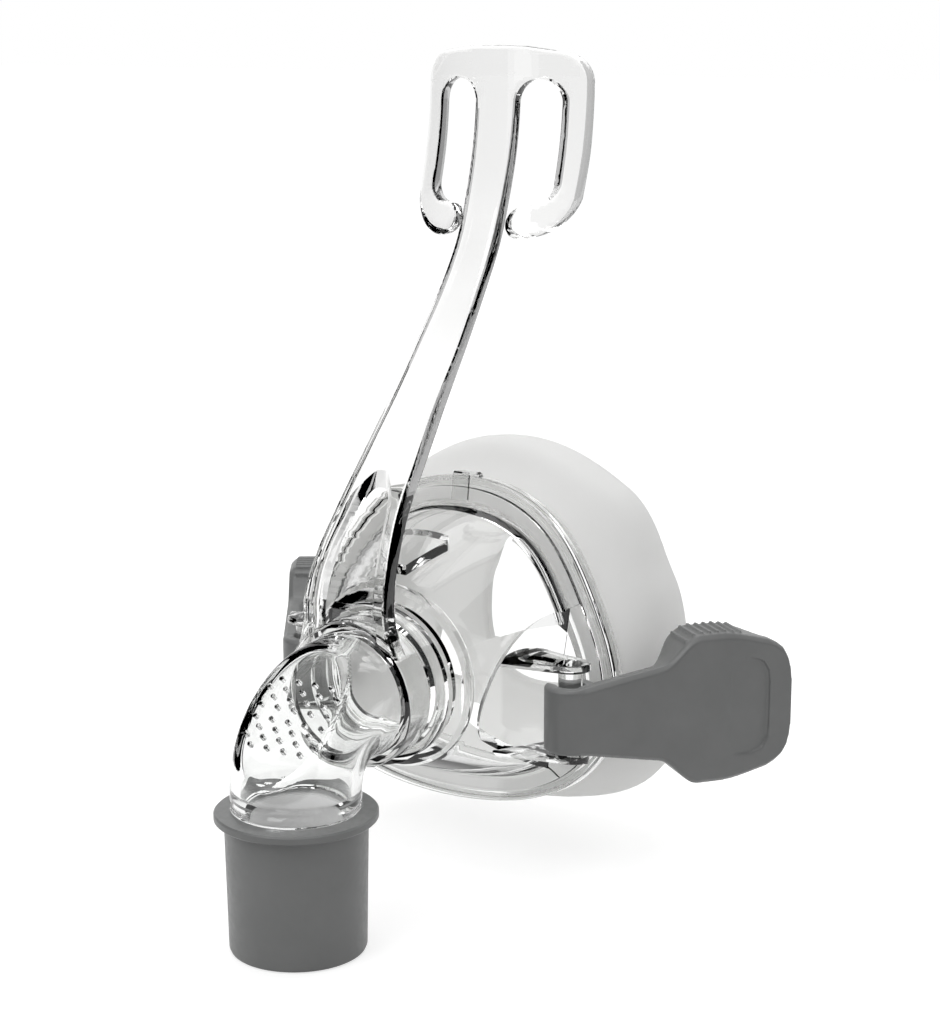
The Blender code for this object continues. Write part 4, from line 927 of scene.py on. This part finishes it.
def build_frame(look):
    body = dome_outside()
    for side, word in SIDES:
        combine(body, pocket_cut(word + "_pocket", side), "DIFFERENCE")
    bake(body)
    combine(body, brace_pad(), "UNION")
    room = dome_inside()
    for side, word in SIDES:
        combine(room, pocket_block(word + "_pocket_wall", side, POCKET_WALL), "DIFFERENCE")
    bake(room)
    arm = flat_plate()
    combine(arm, recess_cutter(), "DIFFERENCE")
    bake(arm)
    bend_plate(arm)
    combine(body, arm, "UNION")
    for side, word in SIDES:
        combine(body, lug(word + "_upper_lug", side, LUG_TOP_FACE, 1.0), "UNION")
        combine(body, lug(word + "_lower_lug", side, LUG_BASE_FACE, -1.0), "UNION")
        pin = post(word + "_pin", side * PIN_HALF, PIN_Y, LUG_BASE_FACE - 0.5 * LUG_THICK,
                   LUG_TOP_FACE + 0.5 * LUG_THICK, PIN_RADIUS)
        combine(body, pin, "UNION")
    combine(body, room, "DIFFERENCE")
    return finish(body, look)


# Ring that locks the cushion, behind the frame's rim

RING_START = RIM_THICK + GAP
RING_END = RING_START + RING_DEPTH


def build_ring(look):
    section = [
        (RING_START, 0.5 * MM), (RING_START + 0.4 * MM, 0.1 * MM), (RING_START + RING_DEPTH * 0.5, 0.0),
        (RING_END - 0.5 * MM, 0.35 * MM), (RING_END, 0.9 * MM), (RING_END, RING_LIP),
        (RING_END - RING_LIP_THICK, RING_LIP), (RING_END - RING_LIP_THICK, RING_WALL),
        (RING_START, RING_WALL),
    ]
    ring = loft("cushion_ring", [rim_ring(back, inset) for back, inset in section], closed=True)
    combine(ring, ring_latch(), "UNION")
    return finish(ring, look)


def ring_latch():
    """The catch at the ring's top: over the rim's edge and down its front face."""
    over = GAP + LATCH_THICK
    profile = [
        (RING_START + 1.6 * MM, -0.6 * MM), (RING_START + 1.6 * MM, 0.4 * over),
        (RING_START + 0.6 * MM, over), (-over + 0.4 * MM, over), (-over, over - 0.4 * MM),
        (-over, -LATCH_REACH), (-GAP, -LATCH_REACH), (-GAP, GAP), (RING_START + 0.4 * MM, GAP),
        (RING_START + 0.4 * MM, -0.6 * MM),
    ]
    top = RIM_CENTRE + RIM_UP * rim_radius(0.0)
    rings = [[top + SIDE * x + RIM_BACK * back + RIM_UP * level for back, level in profile]
             for x in (-LATCH_HALF, LATCH_HALF)]
    return loft("ring_latch", rings)


# Cushion: a soft wall from the bead in the ring out to the widest line, rolled in to the seal

def cushion_outline(angle):
    """The cushion's own outline, as a share of its radius at the side."""
    marks = [(radians(mark), share) for mark, share in CUSHION_OUTLINE]
    turn = min(pi, abs((angle + pi) % (2 * pi) - pi))
    for (a, low), (b, high) in zip(marks, marks[1:]):
        if turn <= b:
            break
    return mix(low, high, between(turn, a, b))


def cushion_section(forward, side, inset):
    """A section of the cushion. It has the rim's shape and lean at the ring and its own further back."""
    share = between(forward, CUSHION_ROWS[0][0], CUSHION_OWN_SHAPE)
    lean = mix(RIM_LEAN, CUSHION_LEAN, share)
    rear = RIM_CENTRE + RIM_BACK * RING_END

    def radius_at(angle):
        shape = mix(rim_radius(angle) / rim_radius(pi / 2), cushion_outline(angle), share)
        return side * shape - inset

    return ring_round(Vector((0.0, -forward, mix(rear.z, CUSHION_RISE, share))),
                      Vector((0.0, sin(lean), cos(lean))), radius_at, RIM_ROUND)


def build_cushion(look):
    lip_front = RING_END - RING_LIP_THICK - GAP
    bead = [
        (RING_START, SKIRT_INSET - GAP), (RING_START, RING_WALL + GAP), (lip_front, RING_WALL + GAP),
        (lip_front, RING_LIP + GAP),
    ]
    rings = [rim_ring(back, inset) for back, inset in bead]
    last = len(CUSHION_ROWS) - 1
    rows = []
    for k in range(last):
        rows += [smooth_row(CUSHION_ROWS, k, step / CUSHION_STEPS) for step in range(CUSHION_STEPS)]
    rows.append(CUSHION_ROWS[last])
    rings += [cushion_section(forward, side, 0.0) for forward, side, _ in rows]
    for (forward, side, wall), (far_forward, far_side, _) in reversed(list(zip(rows, rows[1:]))):
        along = hypot(far_forward - forward, far_side - side)
        slope_in = (forward - far_forward) / along
        slope_front = (side - far_side) / along
        rings.append(cushion_section(forward + wall * slope_front, side, wall * slope_in))
    rings.append(rim_ring(RING_START + SKIRT_DEPTH + 0.4 * MM, SKIRT_INSET - GAP))
    return finish(loft("cushion", rings, closed=True), look)


# Elbow: one skin from the outlet spigot round the bend to the inlet spigot, and back inside

PIVOT = Vector((0.0, CROSSING.y + ELBOW_PIVOT_BACK, CUFF_TOP + ELBOW_PIVOT_RISE))
BEND_ANGLE = pi / 2 - INLET_TILT
BEND_END = (PIVOT - CROSSING).dot(INLET)
INLET_FROM_PIVOT = (CROSSING + INLET * BEND_END - PIVOT).length
PANEL_NORMAL = Vector((0.0, -cos(PANEL_ANGLE), sin(PANEL_ANGLE)))
PANEL_UP = Vector((0.0, sin(PANEL_ANGLE), cos(PANEL_ANGLE)))


def outlet_ring(height, radius):
    return circle_ring(Vector((0.0, CROSSING.y, CUFF_TOP + height)), Vector((0.0, -1.0, 0.0)), radius)


def flatten(point, sink):
    """Draws a point that lies beyond the vent panel's plane back to it, with a rounded edge."""
    above = (point - PIVOT).dot(PANEL_NORMAL) - (PANEL_REACH - sink)
    excess = 0.5 * (above + sqrt(above * above + PANEL_BLEND * PANEL_BLEND))
    return point - PANEL_NORMAL * excess


def bend_ring(share, inset, sink=0.0):
    """A section of the bend, cut by the vent panel. Its plane turns about the pivot from the outlet to
    the inlet."""
    angle = BEND_ANGLE * share
    out = Vector((0.0, -cos(angle), sin(angle)))
    reach = mix(ELBOW_PIVOT_BACK, INLET_FROM_PIVOT, between(share, 0.0, 1.0))
    ring = circle_ring(PIVOT + out * reach, out, TUBE_RADIUS - inset)
    return [flatten(point, sink) for point in ring]


def elbow_rings():
    spigot = COLLAR_BORE - GAP
    snap_start = COLLAR_LIP_END + GAP
    outlet_bore = OUTLET_SPIGOT - OUTLET_WALL
    outlet = [
        (-OUTLET_DEPTH, OUTLET_SPIGOT - 0.3 * MM),
        (-OUTLET_DEPTH + OUTLET_BEAD_START - OUTLET_BEAD_SLOPE, OUTLET_SPIGOT),
        (-OUTLET_DEPTH + OUTLET_BEAD_START, OUTLET_SPIGOT + OUTLET_BEAD),
        (-OUTLET_DEPTH + OUTLET_BEAD_END, OUTLET_SPIGOT + OUTLET_BEAD),
        (-OUTLET_DEPTH + OUTLET_BEAD_END + OUTLET_BEAD_SLOPE, OUTLET_SPIGOT),
        (GAP, OUTLET_SPIGOT), (GAP, TUBE_RADIUS - 0.15 * MM), (GAP + 0.2 * MM, TUBE_RADIUS),
    ]
    inlet = [
        (COLLAR_START - 1.0 * MM, spigot), (snap_start, spigot),
        (snap_start + 0.2 * MM, spigot + SNAP_HEIGHT), (snap_start + 0.8 * MM, spigot + SNAP_HEIGHT),
        (snap_start + SNAP_LENGTH, spigot - 0.3 * MM), (snap_start + SNAP_LENGTH, TUBE_RADIUS - TUBE_WALL),
    ]
    inner_steps = BEND_STEPS - 4
    rings = [outlet_ring(height, radius) for height, radius in outlet]
    rings += [bend_ring(i / BEND_STEPS, 0.0) for i in range(BEND_STEPS + 1)]
    rings += [inlet_ring(along, radius) for along, radius in inlet]
    rings += [bend_ring(1.0 - i / inner_steps, TUBE_WALL, PANEL_WALL) for i in range(inner_steps + 1)]
    return rings + [outlet_ring(0.4 * MM, outlet_bore), outlet_ring(-OUTLET_DEPTH, outlet_bore)]


def vent_points():
    """Where the vent holes go on the panel: rows of five and four by turns, mirrored about its middle."""
    points = []
    for row in range(VENT_ROWS):
        count = VENT_SHORT_ROW if row % 2 else VENT_LONG_ROW
        for half in (-1.0, 1.0):
            up = half * (VENT_MIDDLE + row * VENT_ROW)
            points += [((i - (count - 1) / 2) * VENT_PITCH, up) for i in range(count)]
    return points


def vent_cutters():
    """One mesh of separate pins, square to the vent panel."""
    bm = bmesh.new()
    square = PANEL_NORMAL.to_track_quat("Z", "Y").to_matrix().to_4x4()
    for across, up in vent_points():
        centre = PIVOT + PANEL_NORMAL * PANEL_REACH + SIDE * across + PANEL_UP * up
        bmesh.ops.create_cone(bm, cap_ends=True, segments=VENT_SIDES, radius1=VENT_HOLE, radius2=VENT_HOLE,
                              depth=3.0 * PANEL_WALL, matrix=Matrix.Translation(centre) @ square)
    return object_of("vent_holes", bm)


def build_elbow(look):
    elbow = loft("elbow", elbow_rings(), closed=True)
    combine(elbow, vent_cutters(), "DIFFERENCE")
    finish(elbow, look)
    elbow.data.transform(Matrix.Translation(-CROSSING))
    elbow.location = CROSSING
    return elbow


# Cuff: a turned sleeve that swivels on the elbow's outlet

def turned(name, profile):
    """A closed profile of (radius, height), outer side first and running down, spun about Z."""
    bm = bmesh.new()
    verts = [bm.verts.new((radius, 0.0, height)) for radius, height in profile]
    for a, b in zip(verts, verts[1:] + verts[:1]):
        bm.edges.new((a, b))
    made = object_of(name, bm)
    spin = made.modifiers.new("Turned", "SCREW")
    spin.axis = "Z"
    spin.steps = ROUND
    spin.render_steps = ROUND
    spin.use_merge_vertices = True
    spin.merge_threshold = 0.01 * MM
    return made


def build_cuff(look):
    groove_low = -OUTLET_DEPTH + OUTLET_BEAD_START - GAP
    groove_high = -OUTLET_DEPTH + OUTLET_BEAD_END + GAP
    bore = OUTLET_SPIGOT + GAP
    groove = OUTLET_SPIGOT + OUTLET_BEAD + GAP
    step = -OUTLET_DEPTH - GAP
    profile = [
        (CUFF_FLANGE - CUFF_FLANGE_EDGE, 0.0), (CUFF_FLANGE, -CUFF_FLANGE_EDGE),
        (CUFF_FLANGE, -CUFF_FLANGE_THICK + CUFF_FLANGE_EDGE),
        (CUFF_FLANGE - CUFF_FLANGE_EDGE, -CUFF_FLANGE_THICK),
        (CUFF_TOP_RADIUS + CUFF_FILLET, -CUFF_FLANGE_THICK),
        (CUFF_TOP_RADIUS, -CUFF_FLANGE_THICK - CUFF_FILLET), (CUFF_END_RADIUS, -CUFF_LENGTH + CUFF_EDGE),
        (CUFF_END_RADIUS - 0.3 * CUFF_EDGE, -CUFF_LENGTH + 0.3 * CUFF_EDGE),
        (CUFF_END_RADIUS - CUFF_EDGE, -CUFF_LENGTH), (CUFF_END_BORE + CUFF_LEAD, -CUFF_LENGTH),
        (CUFF_END_BORE, -CUFF_LENGTH + CUFF_LEAD), (CUFF_END_BORE, step), (bore, step),
        (bore, groove_low - CUFF_FILLET), (groove, groove_low), (groove, groove_high),
        (bore, groove_high + CUFF_FILLET), (bore, -CUFF_LEAD), (bore + CUFF_LEAD, 0.0),
    ]
    cuff = turned("swivel_cuff", profile)
    cuff.location = (0.0, CROSSING.y, CUFF_TOP)
    return finish(cuff, look)


# Headgear clips

def clip_half_height(along):
    """Half the clip's height at a distance from the pin."""
    neck = mix(CLIP_NECK_HALF, CLIP_WAIST_HALF, share_of(along, 0.0, CLIP_NECK_END))
    paddle = mix(CLIP_PADDLE_HALF, CLIP_END_HALF, between(along, CLIP_SHOULDER + 4.0 * MM, CLIP_LENGTH))
    return mix(neck, paddle, between(along, CLIP_NECK_END - 0.5 * MM, CLIP_SHOULDER))


def clip_thickness(along):
    start = CLIP_SHOULDER - 1.6 * CLIP_BLOCK_RISE
    rise = share_of(along, start, start + CLIP_BLOCK_RISE)
    fall = between(along, CLIP_BLOCK_END, CLIP_BLOCK_END + CLIP_BLOCK_FALL)
    return mix(CLIP_PLATE, CLIP_BLOCK, rise * (1.0 - fall))


def clip_section(along, half, thick, edge):
    """A rounded rectangle across the clip: along it, out from the pin's plane, and up."""
    outer = CLIP_BARREL
    inner = outer - thick
    corners = [(outer - edge, half), (outer, half - edge), (outer, edge - half), (outer - edge, -half),
               (inner + edge, -half), (inner, edge - half), (inner, half - edge), (inner + edge, half)]
    return [Vector((along, out, up)) for out, up in corners]


def clip_body(name):
    marks = [(CLIP_BLOCK_END + CLIP_BLOCK_FALL) * i / CLIP_STEPS for i in range(CLIP_STEPS + 1)]
    rings = [clip_section(mark, clip_half_height(mark), clip_thickness(mark), CLIP_EDGE) for mark in marks]
    for back, shrink in CLIP_END_ROWS:
        edge = min(CLIP_EDGE, 0.3 * CLIP_PLATE + 0.02 * back * MM)
        rings.append(clip_section(CLIP_LENGTH - back * MM, CLIP_END_HALF - shrink * MM,
                                  CLIP_PLATE - 0.15 * shrink * MM, edge))
    rings.append(clip_section(CLIP_LENGTH, CLIP_END_HALF - 6.0 * MM, CLIP_PLATE - 1.3 * MM, 0.6 * MM))
    return loft(name, rings)


def clip_barrel():
    half, edge = CLIP_NECK_HALF, CLIP_BARREL_EDGE
    rows = ((-half, CLIP_BARREL - edge), (-half + edge, CLIP_BARREL), (half - edge, CLIP_BARREL),
            (half, CLIP_BARREL - edge))
    return loft("clip_barrel", [level_ring(0.0, 0.0, z, radius, BARREL_ROUND) for z, radius in rows])


def box_between(name, low, high):
    bm = bmesh.new()
    bmesh.ops.create_cube(bm, size=1.0)
    for vert in bm.verts:
        vert.co = Vector([mix(a, b, c + 0.5) for a, b, c in zip(low, high, vert.co)])
    return object_of(name, bm)


def grip_ribs():
    """Slanted ribs across the grip block's top edge."""
    bm = bmesh.new()
    first = CLIP_NECK_END + CLIP_RIB_START
    pitch = (CLIP_BLOCK_END - CLIP_RIB_HEIGHT - first) / (CLIP_RIBS - 1)
    for i in range(CLIP_RIBS):
        along = first + pitch * i
        for vert in bmesh.ops.create_cube(bm, size=1.0)["verts"]:
            top = vert.co.z > 0
            x = along + vert.co.x * pitch * (0.3 if top else 0.75)
            out = CLIP_BARREL - CLIP_BLOCK / 2 + vert.co.y * (CLIP_BLOCK - 2 * CLIP_RIB_MARGIN)
            vert.co = Vector((x, out, clip_half_height(along) + (CLIP_RIB_HEIGHT if top else -CLIP_RIB_ROOT)))
    return object_of("grip_ribs", bm)


def thumb_recess():
    """A shallow scoop in the clip's outer face, deepest at its rounded far end."""
    outline = [(THUMB_START, THUMB_HALF)]
    outline += [(THUMB_END - back, THUMB_HALF - inwards) for back, inwards in THUMB_OUTLINE]
    outline += [(along, -up) for along, up in reversed(outline)]
    face = [Vector((along, CLIP_BARREL + 2.0 * MM, up)) for along, up in outline]
    floor = []
    for along, up in outline:
        depth = mix(-0.3 * MM, THUMB_DEEP, (along - THUMB_START) / (THUMB_END - THUMB_START))
        floor.append(Vector((along, CLIP_BARREL - depth, up)))
    return loft("thumb_recess", [face, floor])


def build_clip(name, side, angle, look):
    clip = clip_body(name)
    beyond = 2 * CLIP_NECK_HALF
    bore = post(name + "_bore", 0.0, 0.0, -beyond, beyond, CLIP_BORE, BARREL_ROUND)
    mouth = box_between(name + "_mouth", (-2 * CLIP_BARREL, -CLIP_MOUTH / 2, -beyond),
                        (-0.2 * MM, CLIP_MOUTH / 2, beyond))
    mouth.rotation_euler = (0.0, 0.0, CLIP_MOUTH_TURN)
    slot_outer = CLIP_BARREL - CLIP_SKIN
    channel = box_between(name + "_strap_channel",
                          (CLIP_SLOT_START, slot_outer - STRAP_SLOT, -STRAP_SLOT_HALF),
                          (CLIP_LENGTH + 4.0 * MM, slot_outer, STRAP_SLOT_HALF))
    window = box_between(name + "_strap_window", (CLIP_SLOT_START, -3.0 * CLIP_BARREL, -STRAP_SLOT_HALF),
                         (CLIP_BAR_START, slot_outer, STRAP_SLOT_HALF))
    for other, operation in (
            (clip_barrel(), "UNION"), (bore, "DIFFERENCE"), (mouth, "DIFFERENCE"),
            (grip_ribs(), "UNION"), (channel, "DIFFERENCE"), (window, "DIFFERENCE"),
            (thumb_recess(), "DIFFERENCE")):
        combine(clip, other, operation)
    bake(clip)
    if side > 0.0:
        turn = Matrix.Rotation(angle, 4, "Z") @ Matrix.Diagonal((1.0, -1.0, 1.0, 1.0))
    else:
        turn = Matrix.Rotation(pi - angle, 4, "Z")
    clip.data.transform(turn)
    if side > 0.0:
        clip.data.flip_normals()
    clip.location = (side * PIN_HALF, PIN_Y, CLIP_MIDDLE)
    return mould(clip, look, CLIP_GRAIN, 2)


fine_frame = build_frame(CLEAR_FRAME)
fine_ring = build_ring(CLEAR)
fine_cushion = build_cushion(SILICONE)
fine_elbow = build_elbow(CLEAR_ELBOW)
fine_cuff = build_cuff(GREY)
fine_right = build_clip("right_clip", 1.0, RIGHT_CLIP_ANGLE, GREY)
fine_left = build_clip("left_clip", -1.0, LEFT_CLIP_ANGLE, GREY)
for piece, replaced, body, slot in (
        (fine_frame, "mask_frame", "mask", "clear_plastic"),
        (fine_ring, "cushion_ring", "mask", "clear_plastic"),
        (fine_cushion, "cushion", "mask", "silicone"),
        (fine_elbow, "elbow", "elbow", "clear_plastic"),
        (fine_cuff, "swivel_cuff", "cuff", "grey_plastic"),
        (fine_right, "right_clip", "right_clip", "grey_plastic"),
        (fine_left, "left_clip", "left_clip", "grey_plastic")):
    piece.name = "fine_" + replaced
    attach(piece, body)
    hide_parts(replaced)
for cutter in list(CUTTERS.objects):
    bpy.data.objects.remove(cutter)


# Studio

STUDIO = bpy.context.scene.collection
SEEN = ("Is Camera Ray", "Is Glossy Ray", "Is Transmission Ray")
CORNERS = ((-1, -1), (1, -1), (1, 1), (-1, 1))


def sheet_piece(name, corners, look):
    """A flat four-cornered sheet that belongs to the stage."""
    mesh = bpy.data.meshes.new(name)
    mesh.from_pydata(corners, [], [(0, 1, 2, 3)])
    mesh.update()
    made = placed(name, mesh, STUDIO)
    made.data.materials.append(look)
    return made


def world_light(level):
    """An even white world, pure white where it is seen, also in gloss and through the clear pieces."""
    world = bpy.data.worlds.new("studio")
    bpy.context.scene.world = world
    world.use_nodes = True
    tree = world.node_tree
    strength = node(tree, "MapRange", {"To Min": level, "To Max": 1.0, "Value": either_ray(tree, SEEN)})
    feed(tree, tree.nodes["Background"], {"Color": WHITE, "Strength": strength.outputs["Result"]})


def floor_piece(height):
    reach = 4.0
    look, tree, shader = shader_of("floor")
    feed(tree, shader, {
        "Base Color": (0.5, 0.5, 0.5, 1.0), "Roughness": 0.9, "Specular IOR Level": 0.0,
        "Emission Color": WHITE,
        "Emission Strength": maths(tree, "MULTIPLY", either_ray(tree, SEEN), FLOOR_GLOW),
    })
    corners = [(x * reach, y * reach, height) for x, y in CORNERS]
    sheet_piece("floor", corners, look)


def dark_card(name, place, facing, width, height):
    """A black card that only shows in gloss and through the clear pieces, where it draws their dark edges."""
    out = (facing - place).normalized()
    across = out.cross(UP)
    if across.length < 0.01:
        across = SIDE.copy()
    across.normalize()
    up = across.cross(out)
    corners = [place + across * (x * width / 2) + up * (y * height / 2) for x, y in CORNERS]
    look, tree, shader = shader_of(name)
    feed(tree, shader, {"Base Color": (0.0, 0.0, 0.0, 1.0), "Specular IOR Level": 0.0})
    made = sheet_piece(name, corners, look)
    made.visible_camera = False
    made.visible_diffuse = False
    made.visible_shadow = False


def soft_lamp(name, place, size, power):
    light = bpy.data.lights.new(name, "AREA")
    light.shape = "RECTANGLE"
    light.size, light.size_y = size, size
    light.energy = power
    made = placed(name, light, STUDIO)
    made.location = place
    made.rotation_euler = (CENTRE - place).to_track_quat("-Z", "Y").to_euler()


def add_camera():
    level = Vector((-sin(CAMERA_TURN), cos(CAMERA_TURN), 0.0)) * cos(CAMERA_DROP)
    forward = level - UP * sin(CAMERA_DROP)
    data = bpy.data.cameras.new("camera")
    data.lens = CAMERA_LENS
    data.sensor_width = CAMERA_SENSOR
    data.sensor_fit = "AUTO"
    data.clip_start = 0.01
    made = placed("camera", data, STUDIO)
    turn = Matrix((CAMERA_RIGHT, CAMERA_RIGHT.cross(forward), -forward)).transposed().to_4x4()
    made.matrix_world = Matrix.Translation(CAMERA_PLACE) @ turn
    bpy.context.scene.camera = made


CENTRE = Vector((0.0, -0.045, 0.02))
FLOOR = CAD_BOX[0][2]
CAMERA_RIGHT = Vector((cos(CAMERA_TURN), sin(CAMERA_TURN), 0.0))
CAMERA_BACK = Vector((sin(CAMERA_TURN), -cos(CAMERA_TURN), 0.0))


def by_camera(right, back, up):
    """A place from the scene's middle: to the right, towards the camera, and up."""
    return CENTRE + CAMERA_RIGHT * right + CAMERA_BACK * back + UP * up


world_light(WORLD_LEVEL)
floor_piece(FLOOR)
for name, place, width, height in (
        ("left_card", (-0.9, 0.0, 0.3), 1.4, 1.8), ("right_card", (0.9, 0.0, 0.3), 1.4, 1.8),
        ("top_card", (0.0, -0.3, 1.0), 1.4, 0.8), ("front_card", (0.0, 1.2, 0.3), 2.0, 1.4)):
    dark_card(name, by_camera(*place), CENTRE, width, height)
low = by_camera(0.0, 0.65, 0.0)
low.z = FLOOR + MM
dark_card("low_card", low, low + UP, 1.6, 0.8)
for name, place, size, power in (
        ("key", (-0.55, 0.5, 0.8), 0.5, 2.8), ("top", (0.0, -0.25, 0.9), 0.6, 2.8),
        ("rim", (0.6, -0.5, 0.6), 0.4, 1.2)):
    soft_lamp(name, by_camera(*place), size, power)
add_camera()
bpy.context.scene.view_settings.view_transform = "Standard"
